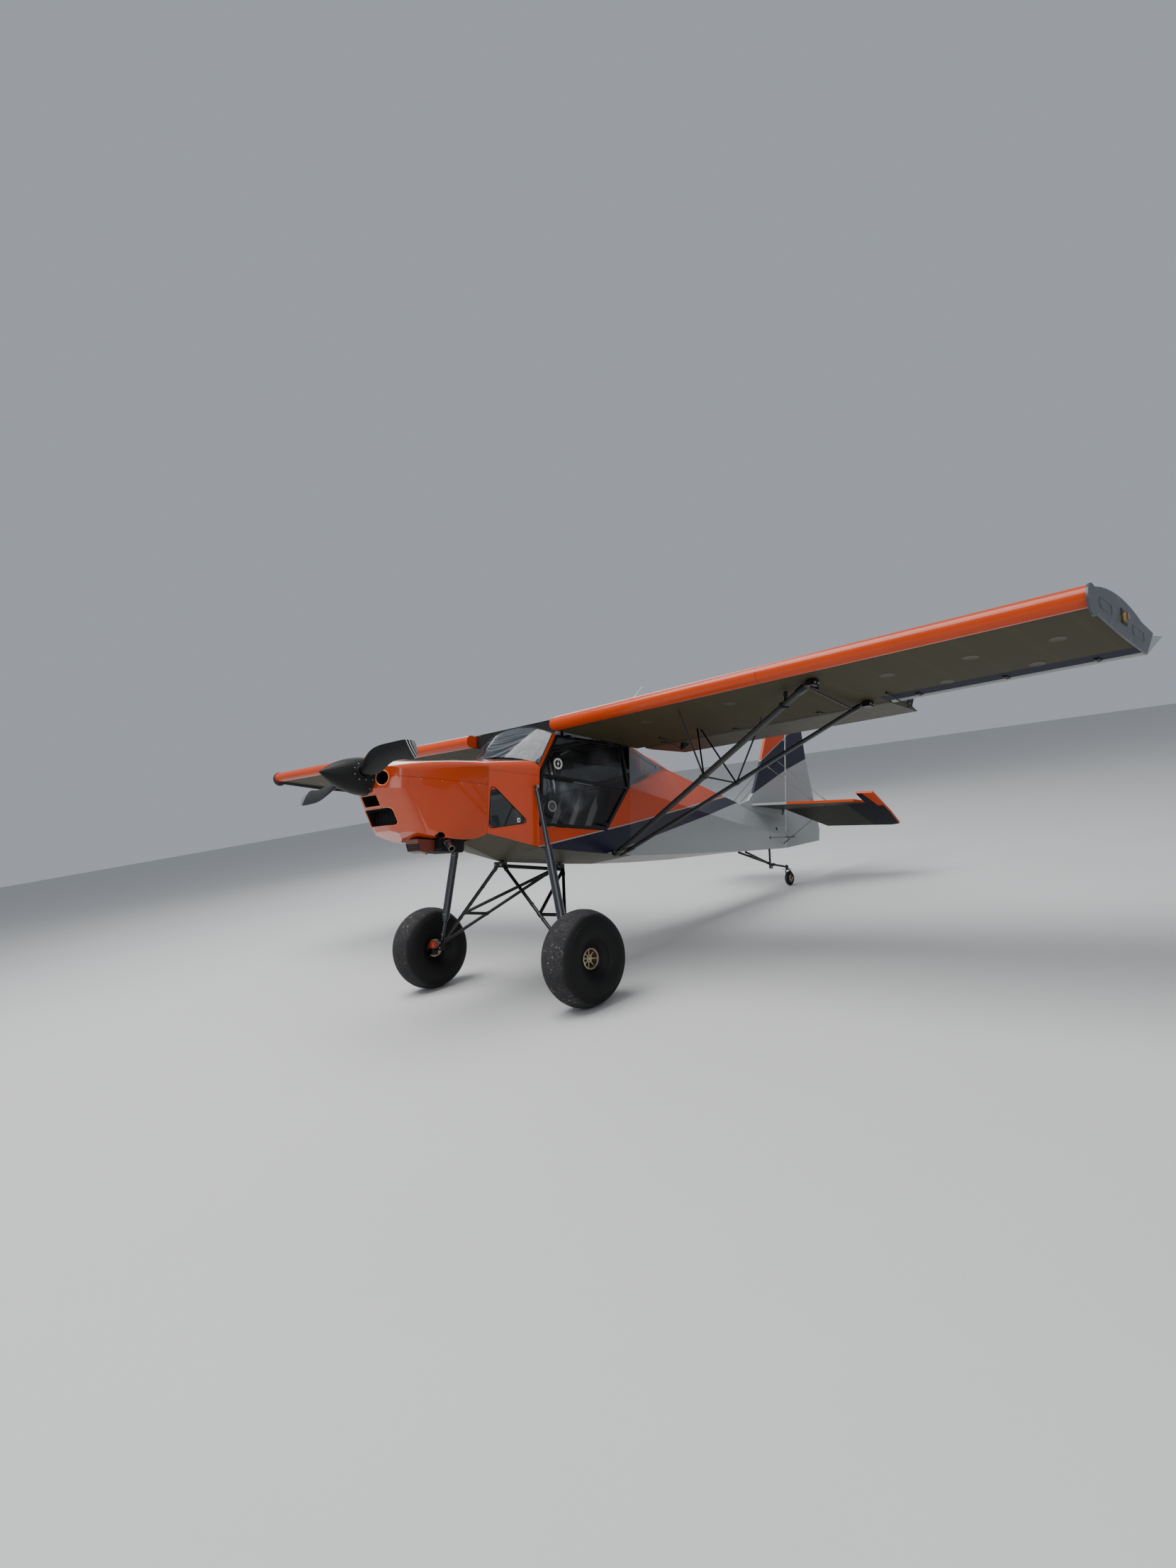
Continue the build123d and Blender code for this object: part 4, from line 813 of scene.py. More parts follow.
# Side inlets: a rolled lip and a near-black duct, painted shade deep in the inlet, with fins at its end
FIN_STEP = 0.0098
bm, ducts = bmesh.new(), bmesh.new()
for name, side in SIDES:
    facing = Vector((0.887, 0.462 * side, 0)).normalized()
    centre = Vector((0.9, 0.19 * side, 0))
    add_tube(bm, circle(centre - facing * 0.001, facing, 0.058, 48), 0.0052, 10, True)
    cup = ((0.0, -0.11), (0.05, -0.11), (0.0532, -0.002), (0.0538, -0.002), (0.0515, -0.1125),
           (0.0, -0.1125))
    add_lathe(ducts, cup, centre, facing, 40)
    for k in range(-4, 5):
        height = FIN_STEP * k
        half = sqrt(0.047 ** 2 - height ** 2)
        add_block(ducts, centre - facing * 0.085 + Vector((0, 0, height)), (2 * half, 0.04, 0.0024),
                  facing.cross(Vector((0, 0, 1))), (0, 0, 1), 0.0006)

# Oil-cooler slot and lower mouth: rolled lips, near-black shrouds as painted shade inside the openings, and
# finned cores
# z of its middle, width, height, corner radius and the core's x
OPENINGS = ((-0.166, 0.226, 0.084, 0.012, 0.77), (-0.289, 0.398, 0.134, 0.036, 0.705))
CORE_STEP = 0.0095
cores = bmesh.new()
for z, width, tall, corner, core_x in OPENINGS:
    lip, shroud = [], []
    for y, v in rounded(corners_of(0.0, 0.0, width / 2, tall / 2), corner):
        out = Vector((y, v)).normalized() * 0.004
        place, normal = touch(cowl, (1.3, y + out.x, z + v + out.y), (-1, 0, 0), 0.0005)
        lip.append(place)
        shroud.append((place.x - 0.004, y * 0.985, z + v * 0.985))
    add_tube(bm, lip, 0.0048, 8, True)
    layers = []
    for inset, back in ((1.0, 0), (1.0, 1), (0.97, 1), (0.97, 0)):
        ring = []
        for x, y, height in shroud:
            ring.append(ducts.verts.new((core_x if back else x, y * inset, z + (height - z) * inset)))
        layers.append(ring)
    add_rings(ducts, layers, True)
    add_block(cores, (core_x - 0.004, 0, z), (0.03, width * 0.96, tall * 0.95), bevel=0.002)
    for k in range(int(tall / CORE_STEP)):
        level = z - tall * 0.45 + k * CORE_STEP
        add_block(cores, (core_x + 0.016, 0, level), (0.014, width * 0.93, 0.0018), bevel=0.0004)
    for k in range(-3, 4):
        add_block(cores, (core_x + 0.02, k * width / 7.4, z), (0.006, 0.0035, tall * 0.92), bevel=0.0008)
finish_mesh("inlet_lips", bm, "edge")
finish_mesh("inlet_ducts", ducts, "soot")
finish_mesh("cooler_cores", cores, "core")

# Radiator scoop's louvred front
bm = bmesh.new()
slope = Vector((-0.334, 0, -0.943))
ahead = Vector((0.943, 0, -0.334))
for y in (0.066, 0.234):
    add_block(bm, Vector((0.5785, y, -0.523)) + ahead * 0.001, (0.06, 0.006, 0.006), slope, ahead, 0.0015)
for k in range(6):
    place = Vector((0.5865, 0.15, -0.5)) + slope * (0.0095 * k)
    add_block(bm, place + ahead * 0.001, (0.164, 0.0035, 0.008), (0, 1, 0), ahead + slope * 0.5, 0.001)
finish_mesh("scoop_louvres", bm, "gasket")

# Exhaust: the bright tailpipe over its stub, the flange, and the box's bolts and straps
bm = bmesh.new()
pipe_start = Vector((0.345, 0.2, -0.415))
pipe_run = Vector((0.12, 0.72, -0.45)).normalized()
sleeve = ((0.0248, 0.112), (0.0248, 0.222), (0.0262, 0.225), (0.0262, 0.229), (0.024, 0.2305))
sleeve += ((0.0208, 0.229), (0.0204, 0.12), (0.0225, 0.112), (0.0248, 0.112))
add_lathe(bm, sleeve, pipe_start, pipe_run, 32)
for height in (0.128, 0.136):
    add_tube(bm, circle(pipe_start + pipe_run * height, pipe_run, 0.0252, 32), 0.0018, 8, True)
finish_mesh("tailpipe_sleeve", bm, "pipe")
bm = bmesh.new()
add_lathe(bm, ((0.0255, 0.0), (0.041, 0.0), (0.041, 0.005), (0.0255, 0.005), (0.0255, 0.0)),
          pipe_start + pipe_run * 0.11, (0, 1, 0), 32)
for x, z in ((0.205, -0.448), (0.415, -0.448), (0.205, -0.532), (0.415, -0.532)):
    add_bolt(bm, (x, 0.29, z), (0, 1, 0), 0.007, 0.006)
for x, y in ((0.3, 0.262), (0.3, -0.08)):
    add_bolt(bm, (x, y, -0.55), (0, 0, -1), 0.007, 0.01)
for x in (0.2, 0.42):
    add_block(bm, (x, 0.09, -0.5505), (0.012, 0.396, 0.004), bevel=0.0015)
finish_mesh("exhaust_hardware", bm, "dark_steel")

# Spinner: screws round its base and its blade cut-outs, and a seal round each blade root
spinner = skins("spinner")
SHAFT, BLADE_X, BLADE_TURN = 0.022, 1.035, radians(82)
blade_run = Vector((0, sin(BLADE_TURN), cos(BLADE_TURN)))
bm, seals = bmesh.new(), bmesh.new()
for k in range(12):
    turn = pi * k / 6 + 0.26
    out = Vector((0, cos(turn), sin(turn)))
    add_screw(bm, *touch(spinner, Vector((0.953, 0, SHAFT)) + out, -out), 0.0045, 0.002)
for end in (1, -1):
    root = Vector((BLADE_X, 0, SHAFT)) + blade_run * (0.3 * end)
    for around in circle(root, blade_run, 0.067, 8, 0.39):
        place, normal, _, _ = spinner.ray_cast(around, -blade_run * end)
        if place is not None and place.x > 0.945 and (place - around).length < 0.3:
            add_screw(bm, place, normal if normal.dot(blade_run * end) > 0 else -normal, *SMALL_SCREW)
    rim = []
    for around in circle(root, blade_run, 0.0555, 40):
        rim.append(touch(spinner, around, -blade_run * end, -0.0005)[0])
    add_tube(seals, rim, 0.0026, 8, True)
    collar = ((0.043, 0.128), (0.052, 0.128), (0.0525, 0.132), (0.0505, 0.15), (0.043, 0.152),
              (0.043, 0.128))
    add_lathe(seals, collar, (BLADE_X, 0, SHAFT), blade_run * end, 36)
finish_mesh("spinner_screws", bm, "steel", "propeller")
finish_mesh("blade_root_seals", seals, "gasket", "propeller")
bm = bmesh.new()
plate = ((0.056, 0.9345), (0.1485, 0.9345), (0.151, 0.936), (0.151, 0.9405), (0.149, 0.9405))
add_lathe(bm, plate + ((0.148, 0.9375), (0.056, 0.9375), plate[0]), (0, 0, SHAFT), (1, 0, 0), 64)
finish_mesh("spinner_backplate", bm, "dark_steel", "propeller")

# Windshield: foot gasket and screws, head strip, and a seal down each pillar
FOOT_CENTRE, FOOT_RADIUS = -1.0787, 0.8287
bm, gasket = bmesh.new(), bmesh.new()
line = []
for k in range(-9, 10):
    turn = radians(3.85 * k)
    for more, screw in ((0.014, True), (0.003, False)):
        reach = FOOT_RADIUS + more
        place, normal = on_top(boot, FOOT_CENTRE + reach * cos(turn), reach * sin(turn))
        if screw:
            add_screw(bm, place, normal, *SMALL_SCREW)
        else:
            line.append(place + normal * 0.0005)
finish_mesh("windshield_screws", bm, "dark_steel")
add_tube(gasket, line, 0.0026, 8)
add_tube(gasket, arc((-0.578, 0.507, 0.51), (-0.548, 0, 0.617), (-0.578, -0.507, 0.51), 24), 0.005, 8)
for name, side in SIDES:
    add_tube(gasket, ((-0.427, 0.5105 * side, 0.232), (-0.575, 0.5075 * side, 0.505)), 0.0036, 8)
finish_mesh("windshield_gasket", gasket, "gasket")

# Boot cowl: the crease line along its side, its side screws, and the foot windows' trim and catches
TRIM_CORNERS = ((-0.022, 0.027), (-0.008, -0.349), (-0.341, -0.286))
BOOT_SCREWS = ((-0.022, 0.118), (-0.022, -0.372), (-0.405, 0.19), (-0.405, 0.05), (-0.405, -0.18),
               (-0.405, -0.42))
bm, trim, screws, catches = (bmesh.new() for _ in range(4))
foot = skins("boot_cowl", "foot_windows")
for name, side in SIDES:
    line = [beside(boot, side, x, 0.145 + 0.06 * x, 0.0)[0] for x in (-0.003, -0.14, -0.28, -0.426)]
    add_tube(bm, line, 0.0014, 8)
    line = [beside(boot, side, p.x, p.y, 0.0004)[0] for p in rounded(TRIM_CORNERS, 0.03, 8)]
    add_tube(trim, line, 0.0036, 8, True)
    for x, z in BOOT_SCREWS:
        add_screw(screws, *beside(boot, side, x, z), 0.0038, 0.0018)
    place, normal = beside(foot, side, -0.258, -0.27)
    add_block(catches, place + normal * 0.002, (0.036, 0.026, 0.006), (0.1, 0, 1), normal, 0.0015)
    knob = ((0.0, 0.011), (0.006, 0.01), (0.007, 0.004), (0.007, 0.0), (0.0, 0.0))
    add_lathe(catches, knob, place, normal, 20, 1)
finish_mesh("boot_crease_lines", bm, "seam")
finish_mesh("foot_window_catches", catches, ("white", "gasket"))
finish_mesh("foot_window_trim", trim, "gasket")
finish_mesh("boot_screws", screws, "orange")

# Doors: skin screws, gas strut, two vents, latch and pull strap
door_rear = Vector((-1.118, 0.015, 0)).normalized()
door_out = Vector((0.015, 1.118, 0)).normalized()


def door_point(back, z, out=0.0, side=1):
    """A place on a door from its distance behind the post, its height and its distance outwards."""
    place = Vector((-0.43, 0.512, z)) + door_rear * back + door_out * out
    return mirrored(place, side)


# the door skin's outline, as distance behind the post and height
DOOR_LINE = ((0.012, -0.307), (0.809, -0.301), (1.109, 0.123), (1.009, 0.516), (0.186, 0.5), (0.034, 0.222),
             (0.012, 0.18))
DOOR_MIDDLE = Vector((0.55, 0.1))
# distance behind the post, height, and whether a lattice fills the vent
VENTS = ((0.22, 0.247, False), (0.156, -0.131, True))
BORE = 0.0345
for name, side in SIDES:
    body = f"door_{name}"
    outward = mirrored(door_out, side)
    rearward = mirrored(door_rear, side)
    bm = bmesh.new()
    for p in spaced(DOOR_LINE, 0.095):
        q = p + (DOOR_MIDDLE - p).normalized() * 0.014
        add_screw(bm, door_point(q.x, q.y, 0.006, side), outward, 0.0036, 0.0016)
    start, end = door_point(0.05, 0.108, 0.002, side), door_point(0.64, 0.092, 0.002, side)
    for share, radius in ((0.0, 0.0085), (1.0, 0.0075)):
        add_bolt(bm, along(start, end, share) + outward * 0.004, outward, radius, 0.008)
    add_block(bm, door_point(0.775, -0.25, 0.008, side), (0.05, 0.014, 0.03), rearward, (0, 0, 1), 0.003)
    finish_mesh(f"door_hardware_{name}", bm, "dark_steel", body)
    bm = bmesh.new()
    barrel = [along(start, end, s) for s in (0.0, 0.03, 0.56, 0.575)]
    add_tube(bm, barrel, (0.005, 0.0085, 0.0085, 0.006), 16)
    add_tube(bm, [along(start, end, s) for s in (0.575, 0.97)], 0.0036, 12, slot=1)
    finish_mesh(f"door_gas_strut_{name}", bm, ("gasket", "steel"), body)
    bm = bmesh.new()
    for back, z, lattice in VENTS:
        centre = door_point(back, z, -0.0125, side)
        ring = ((BORE, 0.0), (0.05, 0.0), (0.05, 0.003), (0.047, 0.005), (0.0375, 0.005),
                (BORE, 0.003), (BORE, 0.0))
        add_lathe(bm, ring, centre, outward, 40, int(lattice))
        inner = ((BORE, -0.003), (0.043, -0.003), (0.043, -0.0065), (BORE, -0.0065), (BORE, -0.003))
        add_lathe(bm, inner, centre, outward, 40, int(lattice))
        if lattice:
            for turn in (0.0, 0.5 * pi):
                arm = rearward * cos(turn) + Vector((0, 0, sin(turn)))
                for shift in (-0.014, 0.0, 0.014):
                    across = arm.cross(outward)
                    length = 2 * sqrt(BORE ** 2 - shift ** 2)
                    place = centre + across * shift + outward * 0.002
                    add_block(bm, place, (length, 0.0022, 0.0022), arm, outward, 0.0005, 1)
        else:
            add_lathe(bm, ((0.0, 0.001), (0.012, 0.001), (0.012, 0.003), (0.0, 0.004)), centre, outward, 24)
            add_block(bm, centre + outward * 0.0015, (0.068, 0.004, 0.0022), (0, 0, 1), outward, 0.0006)
    finish_mesh(f"door_vents_{name}", bm, ("white", "vent_grey"), body)
    bm = bmesh.new()
    hub = door_point(0.775, -0.25, 0.014, side)
    add_lathe(bm, ((0.0, 0.0), (0.013, 0.0), (0.013, 0.007), (0.011, 0.01), (0.0, 0.01)), hub, outward, 24)
    lever = [hub + outward * 0.008, hub + outward * 0.01 - rearward * 0.03,
             hub + outward * 0.008 - rearward * 0.105]
    add_tube(bm, lever, (0.0065, 0.006, 0.0048), 12)
    strap = [door_point(0.985, 0.17 + 0.012 * k, -0.018 - 0.02 * sin(pi * k / 8), side) for k in range(9)]
    add_tube(bm, strap, 0.0055, 8)
    finish_mesh(f"door_latch_{name}", bm, "trim", body)

# Instrument panel: gauges, a radio plate and switches facing the seats
dials, faces, marks = (bmesh.new() for _ in range(3))
PANEL_X = -0.488
# side place, height, face radius
GAUGES = ((0.34, 0.135, 0.04), (0.23, 0.135, 0.04), (0.12, 0.135, 0.04), (0.34, 0.045, 0.028),
          (0.25, 0.045, 0.028), (0.16, 0.045, 0.028), (-0.16, 0.045, 0.028), (-0.25, 0.045, 0.028),
          (-0.12, 0.14, 0.04), (-0.34, 0.12, 0.028))
for y, z, size in GAUGES:
    bezel = ((size, 0.0), (size + 0.007, 0.0), (size + 0.007, 0.004), (size + 0.003, 0.007), (size, 0.006),
             (size, 0.0))
    add_lathe(dials, bezel, (PANEL_X, y, z), (-1, 0, 0), 36)
    disc = ((0.0, 0.0005), (size, 0.0005), (size, 0.0016), (0.0, 0.0016))
    add_lathe(faces, disc, (PANEL_X, y, z), (-1, 0, 0), 36)
    for k in range(10):
        turn = radians(30 * k - 225)
        tick = Vector((0, cos(turn), -sin(turn)))
        add_block(marks, Vector((PANEL_X - 0.0018, y, z)) + tick * size * 0.82,
                  (size * 0.22, 0.0016, 0.0008), tick, (1, 0, 0), 0.0002)
    turn = y * 9
    hand = Vector((0, cos(turn), sin(turn)))
    add_block(marks, Vector((PANEL_X - 0.0024, y, z)) + hand * size * 0.32, (size * 0.75, 0.0022, 0.0008),
              hand, (1, 0, 0), 0.0003)
for y, z, wide, tall in ((0.0, 0.13, 0.15, 0.09), (0.0, 0.055, 0.14, 0.038)):
    add_block(dials, (PANEL_X - 0.004, y, z), (wide, 0.012, tall), (0, 1, 0), (0, 0, 1), 0.003)
    add_block(faces, (PANEL_X - 0.0105, y, z), (wide - 0.024, 0.002, tall - 0.018), (0, 1, 0), (0, 0, 1),
              0.0006)
for y in (-0.4, -0.38, -0.36, -0.34, 0.36, 0.38, 0.4, 0.42):
    add_block(marks, (PANEL_X - 0.008, y, 0.03), (0.016, 0.004, 0.007), (-1, 0, 0.4), (0, 0, 1), 0.001)
finish_mesh("gauge_bezels", dials, "gasket")
finish_mesh("gauge_faces", faces, "dial")
finish_mesh("gauge_marks", marks, "white")

# Throttle quadrant between the seats, pedal faces and stick grips
bm = bmesh.new()
add_block(bm, (-0.76, 0, -0.395), (0.26, 0.09, 0.12), bevel=0.01)
for y, lean in ((0.018, 0.5), (-0.018, 0.2)):
    add_tube(bm, ((-0.74, y, -0.34), (-0.74 + 0.11 * lean, y, -0.22)), 0.0045, 10)
    knob = ((0.0, -0.012), (0.011, -0.01), (0.014, 0.0), (0.011, 0.011), (0.0, 0.013))
    add_lathe(bm, knob, (-0.74 + 0.115 * lean, y, -0.212), (0.4, 0, 1), 20)
for y in (0.28, 0.15, -0.15, -0.28):
    for k in range(5):
        place = (-0.1585 + 0.006 * k, y, -0.302 + 0.016 * k)
        add_block(bm, place, (0.064, 0.006, 0.004), (0, 1, 0), (1, 0, 0.3), 0.0012)
for y in (0.248, -0.248):
    for k in range(6):
        add_tube(bm, circle((-0.774, y, -0.075 + 0.016 * k), (0, 0, 1), 0.0195, 20), 0.0028, 6, True)
finish_mesh("cabin_controls_trim", bm, "trim")


# Seats: a moulded pan with side skirts, and two padded cushions on it
PAD_FRAMES = 20
PAD_PRESSURE = 4.0
VOXEL = 0.006
SEAM_DEPTH, SEAM_WIDTH = 0.007, 0.008


def pad_shape(corner_a, corner_b, up, thickness, half_width, y):
    """A slab of closed quads between two points of the side view, its sides drawn in a little."""
    bm = bmesh.new()
    a, b = Vector((corner_a[0], y, corner_a[1])), Vector((corner_b[0], y, corner_b[1]))
    length = (b - a).length
    add_block(bm, (a + b) / 2 - Vector(up) * (thickness / 2), (length, half_width * 2, thickness), b - a,
              up, 0.018)
    return bm


def puff(piece, cap):
    """Swell a pad like stuffed cloth, with no point moving further than the cap."""
    remesh = piece.modifiers.new("skin", "REMESH")
    remesh.mode = "VOXEL"
    remesh.voxel_size = VOXEL
    ease = piece.modifiers.new("ease", "SMOOTH")
    ease.factor = 0.5
    ease.iterations = 8
    bake(piece)
    before = [v.co.copy() for v in piece.data.vertices]
    swell = piece.modifiers.new("swell", "CLOTH")
    swell.settings.use_pressure = True
    swell.settings.uniform_pressure_force = PAD_PRESSURE
    swell.settings.effector_weights.gravity = 0.0
    swell.point_cache.frame_start = 1
    swell.point_cache.frame_end = PAD_FRAMES
    for step in range(1, PAD_FRAMES + 1):
        bpy.context.scene.frame_set(step)
    bake(piece)
    bpy.context.scene.frame_set(1)
    for old, v in zip(before, piece.data.vertices):
        move = v.co - old
        if move.length > cap:
            v.co = old + move.normalized() * cap


def bake(piece):
    """Replace the mesh by what its modifiers make of it."""
    graph = bpy.context.evaluated_depsgraph_get()
    made = bpy.data.meshes.new_from_object(piece.evaluated_get(graph))
    piece.modifiers.clear()
    old = piece.data
    piece.data = made
    bpy.data.meshes.remove(old)


def sew(piece, y, offsets):
    """Press sewn channels into a pad along its length, at some distances from its middle."""
    for v in piece.data.vertices:
        for offset in offsets:
            gap = (v.co.y - y - offset) / SEAM_WIDTH
            if abs(gap) < 3:
                v.co -= v.normal * SEAM_DEPTH * 2.718 ** (-gap * gap)


BACK_UP = Vector((0.92, 0, 0.392))
# name, first and last point of the pad's face in the side view, its facing, thickness, half width, cap
PADS = (
    ("seat_cushion", (-0.742, -0.318), (-1.11, -0.354), Vector((0.097, 0, 0.995)), 0.062, 0.182, 0.014),
    ("seat_back", (-1.14, -0.3), (-1.315, 0.112), BACK_UP, 0.052, 0.182, 0.012),
)
for pad_name, low, high, up, thickness, half, cap in PADS:
    first = None
    for name, side in SIDES:
        y = SEAT_Y * side
        if first is None:
            piece = finish_mesh(f"{pad_name}_{name}", pad_shape(low, high, up, thickness, half, y), "seat")
            puff(piece, cap)
            sew(piece, y, (-0.075, 0.075))
            piece.data.shade_smooth()
            first = piece
        else:
            mesh = first.data.copy()
            mesh.transform(Matrix.Translation((0, -2 * SEAT_Y, 0)))
            piece = bpy.data.objects.new(f"{pad_name}_{name}", mesh)
            bpy.context.scene.collection.objects.link(piece)
            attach(piece, "fuselage")
        if pad_name == "seat_back":
            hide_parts("seats")

bm = bmesh.new()
for name, side in SIDES:
    y = SEAT_Y * side
    add_block(bm, (-0.955, y, -0.425), (0.44, 0.372, 0.06), (1, 0, 0.09), bevel=0.012)
    shell = [Vector((x, y - 0.19, z)) for x, z in (
        (-1.13, -0.455), (-1.212, -0.455), (-1.392, 0.108), (-1.376, 0.12), (-1.352, 0.112), (-1.19, -0.3))]
    add_slab(bm, shell, (0, 0.38, 0))
    for edge in (-0.192, 0.192):
        add_tube(bm, ((-0.735, y + edge, -0.405), (-1.14, y + edge, -0.43), (-1.232, y + edge, -0.3),
                      (-1.378, y + edge, 0.112)), 0.0095, 12)
finish_mesh("seat_shells", bm, "trim")

# Lap belts: flat webbing from the floor over each cushion to its buckle, and the webbing's section
BELT = ((-0.022, 0), (0.022, 0), (0.022, 0.0025), (-0.022, 0.0025))
bm = bmesh.new()
for name, side in SIDES:
    for edge in (-1, 1):
        y = SEAT_Y * side
        path = [(-1.1, 0.196, -0.44), (-1.1, 0.198, -0.36), (-1.075, 0.185, -0.322), (-1.03, 0.12, -0.313),
                (-1.01, 0.025, -0.311)]
        pts = [Vector((x, y + w * edge, z + 0.004)) for x, w, z in path]
        rings = []
        for p in pts:
            rings.append([bm.verts.new(p + Vector((dx, 0, dz))) for dx, dz in BELT])
        add_rings(bm, rings)
    add_block(bm, (-1.01, SEAT_Y * side, -0.303), (0.05, 0.062, 0.014), bevel=0.004, slot=1)
finish_mesh("lap_belts", bm, ("webbing", "steel"))

# Wing: inspection rings, tank caps, gap strips, hinge brackets, aerial and beacon
RISE = 0.072 / 4.16


def wing_rise(y):
    """How far the wing has risen above its root at a span station."""
    return (abs(y) - 0.59) * RISE


HINGE_X, HINGE_Z = -1.655, 0.548
# root strips: their y, and x of their points over and under the wing
ROOT_Y = 0.6
OVER_X = (-0.5, -0.56, -0.66, -0.76, -0.88, -1.01, -1.15, -1.3, -1.45, -1.575)
UNDER_X = (-0.5, -0.58, -0.9, -1.2, -1.575)
# x and y of the inspection rings
RINGS = ((-0.86, 1.35), (-0.86, 2.2), (-0.98, 3.4), (-0.98, 3.95), (-0.98, 4.45), (-1.4, 3.62), (-1.4, 4.2))
rings, caps, strips, brackets = (bmesh.new() for _ in range(4))
for name, side in SIDES:
    wing = skins(f"wing_{name}")
    for x, y in RINGS:
        place, normal = beneath(wing, x, y * side)
        ring = ((0.0, 0.0), (0.048, 0.0), (0.048, 0.0008), (0.045, 0.0018), (0.041, 0.001), (0.0, 0.001))
        add_lathe(rings, ring, place, normal, 36)
    place, normal = on_top(wing, -0.86, 0.95 * side)
    cap = ((0.0, 0.012), (0.02, 0.012), (0.03, 0.009), (0.033, 0.004), (0.044, 0.002), (0.046, -0.001),
           (0.0, -0.001))
    add_lathe(caps, cap, place, normal, 32)
    add_block(caps, place + normal * 0.013, (0.04, 0.006, 0.006), (1, 0.4, 0), normal, 0.0015)
    add_tube(strips, [on_top(wing, x, ROOT_Y * side, 0.001)[0] for x in OVER_X], 0.005, 8)
    add_tube(strips, [beneath(wing, x, ROOT_Y * side, 0.001)[0] for x in UNDER_X], 0.004, 8)
    for y in (0.95, 1.75, 2.55, 3.35, 3.95, 4.5):
        z = wing_rise(y)
        plate = [(-1.545, 0.494 + z), (-1.64, 0.53 + z), (-1.668, 0.548 + z), (-1.655, 0.562 + z),
                 (-1.62, 0.56 + z), (-1.58, 0.52 + z), (-1.545, 0.5 + z)]
        add_slab(brackets, [(x, (y - 0.0025) * side, h - 0.004) for x, h in plate], (0, 0.005 * side, 0))
        start = Vector((-1.56, y * side, 0.486 + z))
        add_block(brackets, start, (0.07, 0.034, 0.008), bevel=0.002)
        for dx in (-0.022, 0.022):
            add_bolt(brackets, start + Vector((dx, 0, -0.004)), (0, 0, -1), 0.005, 0.004)
finish_mesh("wing_inspection_rings", rings, "ring_grey")
finish_mesh("tank_caps", caps, "dark_steel")
finish_mesh("wing_root_strips", strips, "gasket")
finish_mesh("surface_hinge_brackets", brackets, "dark_steel")

bm = bmesh.new()
wing = skins("wing_left")
place, normal = on_top(wing, -0.7, 1.33)
foot = ((0.0, 0.012), (0.008, 0.012), (0.016, 0.004), (0.018, -0.001), (0.0, -0.001))
add_lathe(bm, foot, place, normal, 20)
add_tube(bm, (place, place + Vector((-0.058, 0, 0.062)), place + Vector((-0.14, 0, 0.149))),
         (0.0045, 0.004, 0.003), 10)
finish_mesh("aerial", bm, "white")
bm = bmesh.new()
place, normal = on_top(wing, -0.64, 1.6)
add_lathe(bm, ((0.0, 0.034), (0.01, 0.032), (0.015, 0.022), (0.017, 0.004), (0.017, -0.001), (0.0, -0.001)),
          place, normal, 24)
plate = ((0.0, 0.005), (0.022, 0.005), (0.024, 0.003), (0.024, -0.001), (0.0, -0.001))
add_lathe(bm, plate, place, normal, 24, 1)
finish_mesh("beacon", bm, ("red", "dark_steel"))

# Roof: bedding strips and screws round the clear roof
roof = skins("skylight")
bm, screws = bmesh.new(), bmesh.new()
roof_x = [-0.6 - 0.094 * k for k in range(11)]
for name, side in SIDES:
    add_tube(bm, [on_top(roof, x, 0.578 * side, 0.0005)[0] for x in roof_x], 0.0045, 8)
    for x in roof_x[::2]:
        add_screw(screws, *on_top(roof, x, 0.562 * side), *SMALL_SCREW)
for x in (-0.6, -1.01, -1.535):
    add_tube(bm, [on_top(roof, x, y, -0.001)[0] for y in (-0.575, 0, 0.575)], 0.006, 8)
finish_mesh("roof_strips", bm, "gasket")
finish_mesh("roof_screws", screws, "dark_steel")

# Wing tips: rim screws, pressed ovals and the lamp on its plate
bm, ovals, lamps = (bmesh.new() for _ in range(3))
TIP_Y = 4.762
tip_line = arc((-0.6, 0, 0.56), (-0.45, 0, 0.622), (-0.575, 0, 0.703), 6)
tip_line += arc((-0.575, 0, 0.703), (-0.954, 0, 0.764), (-1.5, 0, 0.724), 8)[1:]
tip_line += [Vector((-1.765, 0, 0.712)), Vector((-1.572, 0, 0.538)), Vector((-1.052, 0, 0.54))]
tip_middle = Vector((-1.05, 0, 0.64))
for name, side in SIDES:
    for p in spaced(tip_line, 0.105):
        q = p + (tip_middle - p).normalized() * 0.016
        add_screw(bm, (q.x, TIP_Y * side, q.z), (0, side, 0), *SMALL_SCREW)
    for x, z, half in ((-0.76, 0.64, 0.11), (-1.4, 0.63, 0.12)):
        flat = rounded(corners_of(x, z, half, 0.03), 0.029, 8)
        add_tube(ovals, [Vector((p.x, (TIP_Y - 0.001) * side, p.y)) for p in flat], 0.0045, 8, True)
    lamp = Vector((-1.107, (TIP_Y + 0.014) * side, 0.66))
    add_block(lamps, (lamp.x, (TIP_Y + 0.0015) * side, lamp.z), (0.11, 0.004, 0.086), bevel=0.0015, slot=1)
    knob = ((0.0, 0.0155), (0.012, 0.0145), (0.024, 0.0105), (0.0305, 0.003), (0.0312, -0.012),
            (0.0, -0.012))
    add_lathe(lamps, knob, lamp, (0, side, 0), 36)
    for dx, dz in ((0.045, 0.033), (-0.045, 0.033), (0.045, -0.033), (-0.045, -0.033)):
        add_screw(lamps, (lamp.x + dx, (TIP_Y + 0.0035) * side, lamp.z + dz), (0, side, 0), 0.004, 0.0018, 1)
finish_mesh("wing_tip_screws", bm, "steel")
finish_mesh("wing_tip_pressings", ovals, "slate")
finish_mesh("wing_tip_lamps", lamps, ("brass", "dark_steel"))

# Flap and aileron horns, which follow the surfaces, and their pushrods
# each surface's rest angle
droop = {"aileron_left": -25.0, "aileron_right": 25.0, "flap_left": 0.0, "flap_right": 0.0}
